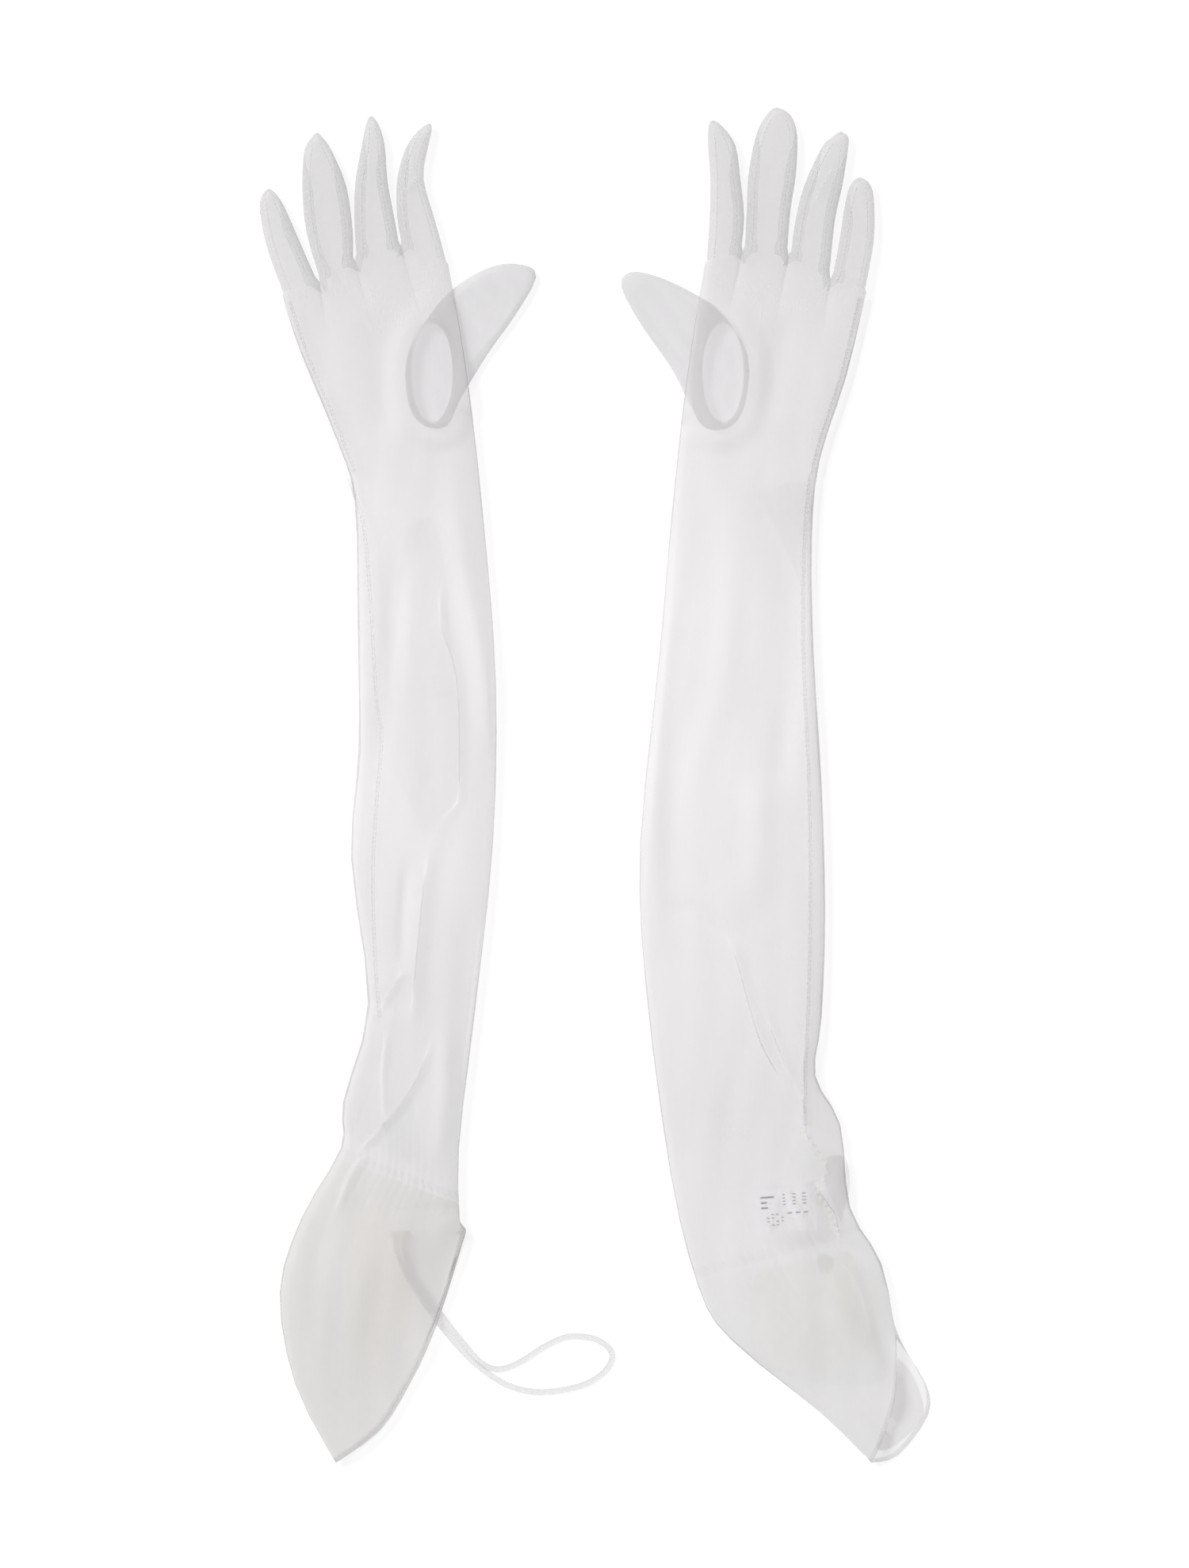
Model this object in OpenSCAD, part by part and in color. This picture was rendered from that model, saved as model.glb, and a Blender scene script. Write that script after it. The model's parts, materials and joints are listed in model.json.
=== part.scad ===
// A pair of long sheer opera gloves, laid flat side by side on a table, backs of the hands up.
// +Z is up, +Y runs towards the fingertips, and the origin is on the table, under the middle
// of the pair. Every cloth piece is a thin hollow pouch, open where the glove is open.

/* [Cloth] */
// Thickness of one wall of cloth
wall = 0.5; // [0.4:0.05:0.6]
// Height of the puffed sleeve above the table
sleeve_h = 13; // [12:0.5:16]
// Height of a finger
finger_h = 9; // [8:0.5:10]
// Height of the thumb, which lies under the edge of the hand
thumb_h = 5.4; // [5.2:0.1:5.6]
// Gap left where the cloth folds between two pieces
fold_gap = 0.4; // [0.3:0.1:0.6]

/* [Sleeve] */
// Where the sleeve folds at the elbow, along Y
elbow_y = -40; // [-60:5:-20]
// Where the sleeve folds at the wrist, along Y
wrist_y = 150; // [140:5:160]
// Width of the elastic's casing
casing_w = 7; // [6:0.5:9]
// Thickness of the casing's wall, elastic included
casing_t = 2; // [1.8:0.1:2.4]
// Width of the elastic
elastic_w = 4.6; // [4:0.2:5]
// Thickness of the elastic
elastic_t = 0.8; // [0.6:0.1:1]

/* [Cuff] */
// Width of the hem round the arm opening
hem_w = 3.6; // [3:0.2:5]
// Thickness of the rolled hem
hem_t = 1.2; // [1:0.1:1.6]
// Thickness of the facing sewn inside the cuff
facing_t = 0.6; // [0.4:0.1:0.8]

/* [Hand] */
// Height of the palm over the thumb
palm_lift = 6.4; // [6.2:0.1:6.8]
// Height of the seam ring between thumb and palm
quirk_t = 0.6; // [0.4:0.1:0.6]
// Half the space between two fingers at their crotch
crotch_gap = 1; // [0.8:0.1:1.4]

/* [Strap and label] */
// Width of the ribbon
strap_w = 3.4; // [3:0.1:4]
// Thickness of the ribbon
strap_t = 0.9; // [0.7:0.1:1]
// Width and height of the care label
label_size = [34, 28]; // [20:1:36]
// Thickness of the care label
label_t = 0.4; // [0.3:0.1:0.5]

/* [Hidden] */

organza = [0.89, 0.885, 0.89];
organza_deep = [0.82, 0.82, 0.8];
organza_cream = [0.87, 0.855, 0.81];
satin = [0.84, 0.845, 0.86];
far = 600; // more than the reach of any piece
rim_reach = 12; // how far a cut along the rim runs out past it
curve_steps = 3; // straight steps between two points of an outline

// The left glove: edges from the knuckles down to the tip of the cuff.
left_outer_edge = [
    [-177.6, 279], [-167, 246], [-145.6, 194], [-136, 160], [-134.4, 90], [-134, 20],
    [-138.2, -42], [-128.6, -124], [-142.8, -180], [-144, -206], [-166.4, -246],
    [-178.7, -288], [-170, -340], [-147, -384.6]
];
left_inner_edge = [
    [-83.3, 297], [-72.5, 234], [-63.5, 156], [-56, 60], [-57.5, -32], [-67.5, -126],
    [-77, -207], [-76, -256]
];
left_rim = [[-76, -256], [-90.5, -308], [-104.5, -339], [-122, -366.5], [-147, -384.6]];
// Crotches between the fingers, from the little finger's side to the index's
left_crotches = [[-156, 285], [-136, 297], [-109, 300.6]];
// The line that the elastic follows: a point, and its slope in degrees
left_band = [-109, -221.5, -21];

// The right glove, in the same order; its outer edge is on the other side.
right_outer_edge = [
    [154.6, 281], [143, 232], [127.8, 184], [123.4, 140], [124.4, 76], [129, 0],
    [131, -72], [129, -132], [125.4, -165], [139.6, -193], [145.2, -240], [163, -272],
    [171.4, -314]
];
right_inner_edge = [
    [62.8, 297], [52.5, 232], [43.8, 154], [37, 76], [26, -32], [28.8, -112],
    [43, -220], [59, -285], [77.5, -315], [128.5, -356.5], [157, -384.6]
];
right_rim = [[171.4, -314], [188, -340], [189, -358], [172, -380.5], [157, -384.6]];
right_crotches = [[133.7, 286.7], [110.3, 300.6], [84.2, 302.4]];
right_band = [102, -264.5, 15.5];

// Fingers: [middle of the width, height up the hand, width], then the tip.
left_index = [[-101.5, 322, 21], [-104.5, 344, 15], [-101, 361, 12.6], [-96.5, 371, 8]];
left_index_tip = [-93.5, 375.6];
left_middle = [[-124.8, 320, 23], [-126.6, 342, 18.4], [-125.6, 363, 13], [-126.2, 375, 7]];
left_middle_tip = [-126.9, 379.8];
left_ring = [[-150.4, 314, 26.4], [-153.4, 340, 25], [-157, 360, 15.4], [-157.5, 367, 7]];
left_ring_tip = [-157.5, 370.4];
left_little = [[-174.8, 302, 20.4], [-180.8, 320, 16.8], [-184, 332, 11.4]];
left_little_tip = [-184.8, 338.6];
right_index = [[75.2, 322, 19.6], [74.2, 345, 17], [72.2, 363, 15.6], [68.6, 374, 7.6]];
right_index_tip = [67, 377.4];
right_middle = [[98.8, 326, 24.8], [100.8, 346, 27], [103.3, 368, 23.6], [104.4, 380, 14]];
right_middle_tip = [103.6, 384.6];
right_ring = [[125.2, 320, 22.4], [129.8, 340, 21.8], [136.6, 362, 15], [139.6, 368, 8.6]];
right_ring_tip = [140, 371];
right_little = [[148.7, 308, 19.6], [150.4, 328, 17], [151, 340, 12]];
right_little_tip = [150.7, 345];

// Thumbs: outlines from the top of the mouth round the tip.
left_thumb_edge = [
    [-94, 266], [-82, 280], [-66, 291], [-49, 296], [-32.5, 290.5], [-44, 268],
    [-61, 244], [-76, 219], [-84, 203.5], [-97, 204], [-105.5, 216], [-106.8, 242]
];
left_thumb_hole = [-92.2, 234];
left_thumb_bay = [
    [-114.5, 197], [-40, 197], [-40, 294], [-84, 294], [-100, 280], [-114.5, 262]
];
right_thumb_edge = [
    [72, 268], [58, 278], [40, 287], [22, 291.5], [14.8, 284], [26, 262],
    [44, 236], [54, 216], [63, 202.5], [77, 203], [85.5, 216], [87, 244]
];
right_thumb_hole = [73, 234];
right_thumb_bay = [[94.5, 197], [20, 197], [20, 294], [64, 294], [80, 280], [94.5, 262]];
thumb_hole_half = [12.5, 29];
palm_taper = [225, 276]; // the hand goes down to the fingers' height between these

// The ribbon's route: out of its tack, through the arm opening, round its loop and back.
strap_route = [
    [-112.2, -258, 2.4], [-112.2, -264, 2.4], [-106, -279, 2.6], [-97, -293, 3],
    [-87, -307, 1.6], [-77.4, -318.6, 0.6], [-66.5, -329.4, 0.55], [-50, -340.4, 0.55],
    [-31.5, -344.6, 0.55], [-9, -341.4, 0.55], [5, -333.6, 0.55], [10, -323.4, 0.55],
    [2, -315.2, 0.55], [-13.5, -313, 0.55], [-27, -318, 0.55], [-42, -327.4, 0.55],
    [-54, -331.6, 0.7], [-64, -328.4, 1.7], [-74.4, -317.2, 1.8], [-84, -305.2, 2.9],
    [-93.6, -292, 4.3], [-102.2, -278.6, 4], [-107.6, -264, 3.6], [-107.6, -258, 3.6]
];
strap_steps = 3;
strap_sides = 8;
tack_size = [11, 5, 3.6];
tack_at = [-109.9, -255.5, 0.9];
label_at = [109, -239.5];
label_turn = 4;

function at(p, i) = p[max(0, min(len(p) - 1, i))];
function spline(a, b, c, d, t) =
    0.5 * (2 * b + (c - a) * t + (2 * a - 5 * b + 4 * c - d) * t * t
        + (3 * b - a - 3 * c + d) * t * t * t);
function smooth(p, n = curve_steps) = concat(
    [for (i = [0 : len(p) - 2], k = [0 : n - 1])
        spline(at(p, i - 1), p[i], p[i + 1], at(p, i + 2), k / n)],
    [p[len(p) - 1]]
);
function smooth_ring(p, n = curve_steps) = [
    for (i = [0 : len(p) - 1], k = [0 : n - 1])
        let (m = len(p))
        spline(p[(i + m - 1) % m], p[i], p[(i + 1) % m], p[(i + 2) % m], k / n)
];
function back(p) = [for (i = [len(p) - 1 : -1 : 0]) p[i]];
function unit(v) = v / norm(v);
function left_of(v) = [-v[1], v[0]];
function area2(p) = [for (i = 0, s = 0; i <= len(p); s = s + (i < len(p)
    ? p[i][0] * p[(i + 1) % len(p)][1] - p[(i + 1) % len(p)][0] * p[i][1] : 0), i = i + 1) s]
    [len(p)];
// A closed outline moved inwards by d, point for point
function inset(p, d) =
    let (m = len(p), s = area2(p) > 0 ? 1 : -1)
    [for (i = [0 : m - 1])
        let (n1 = s * left_of(unit(p[i] - p[(i + m - 1) % m])))
        let (n2 = s * left_of(unit(p[(i + 1) % m] - p[i])))
        p[i] + d * (n1 + n2) / max(0.3, 1 + n1 * n2)];
// An open line moved sideways by d, to the left of its own direction
function beside(p, d) = [
    for (i = [0 : len(p) - 1]) p[i] + d * left_of(unit(at(p, i + 1) - at(p, i - 1)))
];
function ellipse(c, r, n = 32) = [
    for (i = [0 : n - 1]) c + [r[0] * cos(360 * i / n), r[1] * sin(360 * i / n)]
];

// The whole glove without its fingers, as a closed outline
left_outline = concat(
    smooth(left_outer_edge),
    [for (i = [1 : len(smooth(left_rim)) - 1]) back(smooth(left_rim))[i]],
    [for (i = [1 : len(smooth(left_inner_edge)) - 1]) back(smooth(left_inner_edge))[i]],
    back(left_crotches)
);
right_outline = concat(
    smooth(right_outer_edge),
    [for (i = [1 : len(smooth(right_rim)) - 1]) smooth(right_rim)[i]],
    [for (i = [1 : len(smooth(right_inner_edge)) - 1]) back(smooth(right_inner_edge))[i]],
    back(right_crotches)
);
// The line from one side of the hand to the other along the fingers' roots
left_knuckles = concat([left_outer_edge[0]], left_crotches, [left_inner_edge[0]]);
right_knuckles = concat([right_outer_edge[0]], right_crotches, [right_inner_edge[0]]);

module plate(outline, z0, z1) translate([0, 0, z0]) linear_extrude(z1 - z0) polygon(outline);

module pouch(outline, h) difference() {
    plate(outline, 0, h);
    plate(inset(outline, wall), wall, h - wall);
}

// Everything between two heights up the arm
module between(y0, y1) translate([-far, y0, -1]) cube([2 * far, y1 - y0, sleeve_h + 2]);

// Everything on the hand's side of a band's line, from d onwards, for a given reach
module above(band, d, reach = far) translate([band[0], band[1], -1]) rotate(band[2])
    translate([-far, d, 0]) cube([2 * far, reach, sleeve_h + 2]);

module forearm_sleeve(outline) color(organza) intersection() {
    pouch(outline, sleeve_h);
    between(elbow_y + fold_gap / 2, wrist_y - fold_gap / 2);
}

module upper_sleeve(outline, band) color(organza) intersection() {
    pouch(outline, sleeve_h);
    between(-far, elbow_y - fold_gap / 2);
    above(band, casing_w / 2);
}

module band_casing(outline, band) color(organza_deep) difference() {
    intersection() {
        plate(outline, 0, sleeve_h);
        above(band, -casing_w / 2, casing_w);
    }
    plate(inset(outline, casing_t), casing_t, sleeve_h - casing_t);
    elastic_ring(outline, band, 0.05);
}

// The elastic, larger all round by play when it cuts its own tunnel
module elastic_ring(outline, band, play) {
    out = (casing_t - elastic_t) / 2 - play;
    in = (casing_t + elastic_t) / 2 + play;
    difference() {
        intersection() {
            plate(inset(outline, out), out, sleeve_h - out);
            above(band, -elastic_w / 2 - play, elastic_w + 2 * play);
        }
        plate(inset(outline, in), in, sleeve_h - in);
    }
}

// The cuff stops short of its rim, where the hem goes, and the cut runs on past the tip
module cuff(outline, band, rim) color(organza) difference() {
    cut = concat([rim[0] + hem_w * unit(rim[0] - rim[1])], rim);
    pouch(outline, sleeve_h);
    above(band, -casing_w / 2 - fold_gap);
    plate(concat(beside(cut, -rim_reach), back(beside(cut, hem_w))), -1, sleeve_h + 1);
}

module cuff_hem(outline, rim) color(organza_deep) difference() {
    intersection() {
        plate(outline, 0, sleeve_h);
        plate(concat(beside(rim, -1), back(beside(rim, hem_w))), 0, sleeve_h);
    }
    n = len(rim);
    mouth = concat(
        [for (i = [1 : n - 2]) rim[i]],
        [rim[n - 1] + 2 * hem_t * unit(rim[n - 2] - rim[n - 1])]
    );
    plate(concat(beside(mouth, -rim_reach), back(beside(mouth, 2 * hem_w))),
        hem_t, sleeve_h - hem_t);
}

// The facing lies against the inside of the cuff's upper wall
module cuff_facing(edge) color(organza_cream)
    plate(smooth_ring(edge), sleeve_h - wall - facing_t, sleeve_h - wall);

module hand_profile(drop) translate([-far, 0, 0]) rotate([90, 0, 90]) linear_extrude(2 * far)
    polygon([
        [wrist_y - 9, -1], [far, -1], [far, finger_h - drop],
        [palm_taper[1], finger_h - drop], [palm_taper[0], sleeve_h - drop],
        [wrist_y - 9, sleeve_h - drop]
    ]);

module hand_shell(outline, knuckles, bay, hole) color(organza) difference() {
    intersection() {
        plate(outline, 0, sleeve_h);
        hand_profile(0);
        between(wrist_y + fold_gap / 2, far);
    }
    difference() {
        intersection() {
            plate(inset(outline, wall), wall, sleeve_h - wall);
            hand_profile(wall);
        }
        plate(inset(bay, -wall), 0, palm_lift + wall);
    }
    plate(bay, -1, palm_lift);
    plate(ellipse(hole, thumb_hole_half), 0, palm_lift + 2 * wall);
    inner = [
        for (i = [0 : len(knuckles) - 1])
            knuckles[i] + (i == 0 ? 2 : i == len(knuckles) - 1 ? -2 : 0) * wall
                * unit(at(knuckles, i + 1) - at(knuckles, i - 1))
    ];
    difference() {
        plate(concat([for (p = inner) p + [0, 3]], back([for (p = inner) p - [0, 2]])),
            wall, finger_h - wall);
        plate(inset(bay, -wall), 0, palm_lift + wall);
    }
}

// A finger's outline, run back past its root a to b so that the root can be cut open
function finger_edge(a, b, rows, tip) =
    let (u = unit(b - a), v = left_of(u) * (left_of(u)[1] > 0 ? 1 : -1))
    let (first = a + crotch_gap * u, last = b - crotch_gap * u, s = sign(u[0]))
    smooth(concat(
        [first - 6 * v, first],
        [for (r = rows) [r[0] - s * r[2] / 2, r[1]]],
        [tip],
        [for (r = back(rows)) [r[0] + s * r[2] / 2, r[1]]],
        [last, last - 6 * v]
    ));
// The strip of a finger's edge that its fourchette fills, on side 0 (at a) or 1 (at b)
function side_strip(edge, rows, side, out) =
    let (reach = curve_steps * (len(rows) + 1), m = len(edge) - 1)
    let (o = inset(edge, -out), i = inset(edge, wall))
    side == 0
        ? concat([for (k = [0 : reach]) o[k]], back([for (k = [0 : reach]) i[k]]))
        : concat([for (k = [m - reach : m]) o[k]], back([for (k = [m - reach : m]) i[k]]));

// Everything beyond a finger's root line
module beyond(a, b) translate([a[0], a[1], -1])
    rotate(atan2((b - a)[1], (b - a)[0]) + (b[0] > a[0] ? 0 : 180))
    translate([-far / 2, fold_gap, 0]) cube([far, far, sleeve_h]);

module finger(a, b, rows, tip, sides) color(organza) {
    edge = finger_edge(a, b, rows, tip);
    intersection() {
        difference() {
            pouch(edge, finger_h);
            for (side = sides)
                plate(side_strip(edge, rows, side, 0.3), wall, finger_h - wall);
        }
        beyond(a, b);
    }
}

module fourchette(a, b, rows, tip, side) color(organza_deep) intersection() {
    plate(side_strip(finger_edge(a, b, rows, tip), rows, side, 0), wall, finger_h - wall);
    beyond(a, b);
}

module thumb(edge, hole) color(organza) difference() {
    pouch(smooth_ring(edge), thumb_h);
    plate(ellipse(hole, thumb_hole_half - [2, 2]), thumb_h / 2, thumb_h + 1);
}

module thumb_seam(hole) color(organza_deep) difference() {
    plate(ellipse(hole, thumb_hole_half + [1, 1]), palm_lift - quirk_t, palm_lift);
    plate(ellipse(hole, thumb_hole_half - [0.6, 0.6]), 0, palm_lift + 1);
}

module left_upper_sleeve() upper_sleeve(left_outline, left_band);
module left_forearm_sleeve() forearm_sleeve(left_outline);
module left_hand_shell()
    hand_shell(left_outline, left_knuckles, left_thumb_bay, left_thumb_hole);
module left_band_casing() band_casing(left_outline, left_band);
module left_elastic() color("white") elastic_ring(left_outline, left_band, 0);
module left_cuff() cuff(left_outline, left_band, back(smooth(left_rim)));
module left_cuff_hem() cuff_hem(left_outline, back(smooth(left_rim)));
module left_cuff_facing() cuff_facing([
    [-134, -228], [-112, -236], [-97, -256], [-93, -290], [-112, -332], [-136, -352],
    [-146, -318], [-144, -268]
]);
module left_thumb() thumb(left_thumb_edge, left_thumb_hole);
module left_thumb_seam() thumb_seam(left_thumb_hole);
module right_upper_sleeve() upper_sleeve(right_outline, right_band);
module right_forearm_sleeve() forearm_sleeve(right_outline);
module right_hand_shell()
    hand_shell(right_outline, right_knuckles, right_thumb_bay, right_thumb_hole);
module right_band_casing() band_casing(right_outline, right_band);
module right_elastic() color("white") elastic_ring(right_outline, right_band, 0);
module right_cuff() cuff(right_outline, right_band, back(smooth(right_rim)));
module right_cuff_hem() cuff_hem(right_outline, back(smooth(right_rim)));
module right_cuff_facing() cuff_facing([
    [90, -278], [122, -272], [146, -264], [158, -284], [162, -310], [140, -330],
    [104, -330], [92, -308]
]);
module right_thumb() thumb(right_thumb_edge, right_thumb_hole);
module right_thumb_seam() thumb_seam(right_thumb_hole);

module left_finger(i, rows, tip, sides)
    finger(left_knuckles[i], left_knuckles[i + 1], rows, tip, sides);
module left_strip(i, rows, tip, side)
    fourchette(left_knuckles[i], left_knuckles[i + 1], rows, tip, side);
module right_finger(i, rows, tip, sides)
    finger(right_knuckles[i], right_knuckles[i + 1], rows, tip, sides);
module right_strip(i, rows, tip, side)
    fourchette(right_knuckles[i], right_knuckles[i + 1], rows, tip, side);

module left_little_finger() left_finger(0, left_little, left_little_tip, [1]);
module left_ring_finger() left_finger(1, left_ring, left_ring_tip, [0, 1]);
module left_middle_finger() left_finger(2, left_middle, left_middle_tip, [0, 1]);
module left_index_finger() left_finger(3, left_index, left_index_tip, [0]);
module left_little_fourchette() left_strip(0, left_little, left_little_tip, 1);
module left_ring_fourchette_outer() left_strip(1, left_ring, left_ring_tip, 0);
module left_ring_fourchette_inner() left_strip(1, left_ring, left_ring_tip, 1);
module left_middle_fourchette_outer() left_strip(2, left_middle, left_middle_tip, 0);
module left_middle_fourchette_inner() left_strip(2, left_middle, left_middle_tip, 1);
module left_index_fourchette() left_strip(3, left_index, left_index_tip, 0);
module right_little_finger() right_finger(0, right_little, right_little_tip, [1]);
module right_ring_finger() right_finger(1, right_ring, right_ring_tip, [0, 1]);
module right_middle_finger() right_finger(2, right_middle, right_middle_tip, [0, 1]);
module right_index_finger() right_finger(3, right_index, right_index_tip, [0]);
module right_little_fourchette() right_strip(0, right_little, right_little_tip, 1);
module right_ring_fourchette_outer() right_strip(1, right_ring, right_ring_tip, 0);
module right_ring_fourchette_inner() right_strip(1, right_ring, right_ring_tip, 1);
module right_middle_fourchette_outer() right_strip(2, right_middle, right_middle_tip, 0);
module right_middle_fourchette_inner() right_strip(2, right_middle, right_middle_tip, 1);
module right_index_fourchette() right_strip(3, right_index, right_index_tip, 0);

// A flat ribbon swept along its route, always lying flat
module strap_loop() color(satin) {
    route = smooth(strap_route, strap_steps);
    n = len(route);
    rings = [
        for (i = [0 : n - 1])
            let (d = i == 0 || i == n - 1 ? [0, i == 0 ? -1 : 1]
                : at(route, i + 1) - at(route, i - 1))
            let (across = unit([-d[1], d[0], 0]))
            for (k = [0 : strap_sides - 1])
                let (a = 360 * (k + 0.5) / strap_sides, grow = 1 / cos(180 / strap_sides))
                route[i] + across * cos(a) * grow * strap_w / 2
                    + [0, 0, sin(a) * grow * strap_t / 2]
    ];
    sides = [
        for (i = [0 : n - 2], k = [0 : strap_sides - 1])
            let (j = (k + 1) % strap_sides, p = i * strap_sides, q = p + strap_sides)
            [p + k, q + k, q + j, p + j]
    ];
    start = [for (k = [0 : strap_sides - 1]) k];
    end = [for (k = [strap_sides - 1 : -1 : 0]) (n - 1) * strap_sides + k];
    polyhedron(rings, concat(sides, [start, end]));
}

module strap_tack() color(satin)
    translate(tack_at - [tack_size[0] / 2, tack_size[1] / 2, 0]) cube(tack_size);

// The care label lies against the inside of the sleeve's upper wall
module care_label() color("white")
    translate([label_at[0], label_at[1], sleeve_h - wall - label_t]) rotate(label_turn)
    translate([-label_size[0] / 2, -label_size[1] / 2, 0])
    cube([label_size[0], label_size[1], label_t]);

left_upper_sleeve();
left_forearm_sleeve();
left_hand_shell();
left_index_finger();
left_middle_finger();
left_ring_finger();
left_little_finger();
left_index_fourchette();
left_middle_fourchette_inner();
left_middle_fourchette_outer();
left_ring_fourchette_inner();
left_ring_fourchette_outer();
left_little_fourchette();
left_thumb();
left_thumb_seam();
left_band_casing();
left_elastic();
left_cuff();
left_cuff_hem();
left_cuff_facing();
strap_loop();
strap_tack();
right_upper_sleeve();
right_forearm_sleeve();
right_hand_shell();
right_index_finger();
right_middle_finger();
right_ring_finger();
right_little_finger();
right_index_fourchette();
right_middle_fourchette_inner();
right_middle_fourchette_outer();
right_ring_fourchette_inner();
right_ring_fourchette_outer();
right_little_fourchette();
right_thumb();
right_thumb_seam();
right_band_casing();
right_elastic();
right_cuff();
right_cuff_hem();
right_cuff_facing();
care_label();
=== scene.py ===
"""A pair of long sheer opera gloves, lying flat side by side on a pale table.

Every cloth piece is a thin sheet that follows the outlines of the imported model. Lengths are in
metres. West is -X and east is +X; rows of points run from west to east.
"""
import json
import math

import bmesh
import bpy
import numpy as np
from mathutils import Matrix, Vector
from mathutils.bvhtree import BVHTree


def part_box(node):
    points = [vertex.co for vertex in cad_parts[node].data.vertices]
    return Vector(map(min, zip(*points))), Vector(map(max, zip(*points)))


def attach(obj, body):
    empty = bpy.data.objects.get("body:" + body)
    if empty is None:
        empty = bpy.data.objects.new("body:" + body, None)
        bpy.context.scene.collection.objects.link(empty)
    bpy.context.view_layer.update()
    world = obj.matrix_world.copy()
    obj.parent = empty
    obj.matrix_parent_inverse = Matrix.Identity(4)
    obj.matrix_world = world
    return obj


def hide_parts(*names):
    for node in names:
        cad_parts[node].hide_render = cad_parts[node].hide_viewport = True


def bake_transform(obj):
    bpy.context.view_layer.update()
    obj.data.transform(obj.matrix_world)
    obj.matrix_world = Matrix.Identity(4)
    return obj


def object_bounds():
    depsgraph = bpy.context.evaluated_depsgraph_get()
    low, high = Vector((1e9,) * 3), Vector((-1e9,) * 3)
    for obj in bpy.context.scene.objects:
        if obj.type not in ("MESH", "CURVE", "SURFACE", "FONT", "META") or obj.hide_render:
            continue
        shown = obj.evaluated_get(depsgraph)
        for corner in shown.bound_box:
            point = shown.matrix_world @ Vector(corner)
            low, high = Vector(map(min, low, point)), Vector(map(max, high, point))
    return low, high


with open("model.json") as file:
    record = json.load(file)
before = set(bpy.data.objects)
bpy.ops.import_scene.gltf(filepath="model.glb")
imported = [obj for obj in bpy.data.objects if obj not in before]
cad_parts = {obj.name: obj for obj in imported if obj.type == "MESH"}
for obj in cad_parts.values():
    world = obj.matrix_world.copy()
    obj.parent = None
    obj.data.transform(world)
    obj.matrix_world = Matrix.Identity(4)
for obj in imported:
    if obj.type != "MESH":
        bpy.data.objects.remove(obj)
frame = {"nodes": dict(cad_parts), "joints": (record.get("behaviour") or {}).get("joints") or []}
cad_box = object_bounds()
MM = 0.001
SAME_PLACE = 0.01 * MM
JOINTS = {joint["name"]: joint for joint in frame["joints"]}
SIDES = ("left", "right")
FINGERS = ("little", "ring", "middle", "index")


# ---- small helpers ----------------------------------------------------------------------------

def smooth(t):
    t = np.clip(t, 0, 1)
    return t * t * (3 - 2 * t)


def unit(v):
    v = np.asarray(v, float)
    return v / np.linalg.norm(v)


def lerp(a, b, t):
    return np.asarray(a) * (1 - t) + np.asarray(b) * t


def spline(points, steps):
    """A Catmull-Rom curve through the points, with that many steps between two of them."""
    p = np.asarray(points, float)
    p = np.vstack([2 * p[0] - p[1], p, 2 * p[-1] - p[-2]])
    curve = []
    for a, b, c, d in zip(p, p[1:], p[2:], p[3:]):
        for k in range(steps):
            t = k / steps
            curve.append(0.5 * (2 * b + (c - a) * t + (2 * a - 5 * b + 4 * c - d) * t ** 2
                                + (3 * b - a - 3 * c + d) * t ** 3))
    return np.array(curve + [p[-2]])


def norms(vectors):
    return np.linalg.norm(vectors, axis=-1)


def arc(curve):
    """The distance along a curve at each of its points."""
    return np.concatenate([[0], np.cumsum(norms(np.diff(curve, axis=0)))])


def resample(curve, count):
    """The same curve with evenly spaced points."""
    along = arc(curve)
    places = np.linspace(0, along[-1], count)
    return np.column_stack([np.interp(places, along, column) for column in curve.T])


def quads(rows, columns, closed=False):
    """The faces of a grid of points, row after row."""
    last = columns if closed else columns - 1
    return [(r * columns + c, r * columns + (c + 1) % columns,
             (r + 1) * columns + (c + 1) % columns, (r + 1) * columns + c)
            for r in range(rows - 1) for c in range(last)]


def add_object(name, data):
    obj = bpy.data.objects.new(name, data)
    bpy.context.scene.collection.objects.link(obj)
    return obj


def piece(name, points, faces, material):
    mesh = bpy.data.meshes.new(name)
    mesh.from_pydata([tuple(p) for p in np.asarray(points).reshape(-1, 3)], [], faces)
    mesh.polygons.foreach_set("use_smooth", [True] * len(mesh.polygons))
    mesh.materials.append(material)
    mesh.update()
    obj = add_object(name, mesh)
    return obj


def merge_close(obj):
    """Joins points that share a place, and drops the empty faces that leaves."""
    work = bmesh.new()
    work.from_mesh(obj.data)
    bmesh.ops.remove_doubles(work, verts=work.verts, dist=SAME_PLACE)
    bmesh.ops.dissolve_degenerate(work, edges=work.edges, dist=SAME_PLACE)
    work.to_mesh(obj.data)
    work.free()


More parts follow.
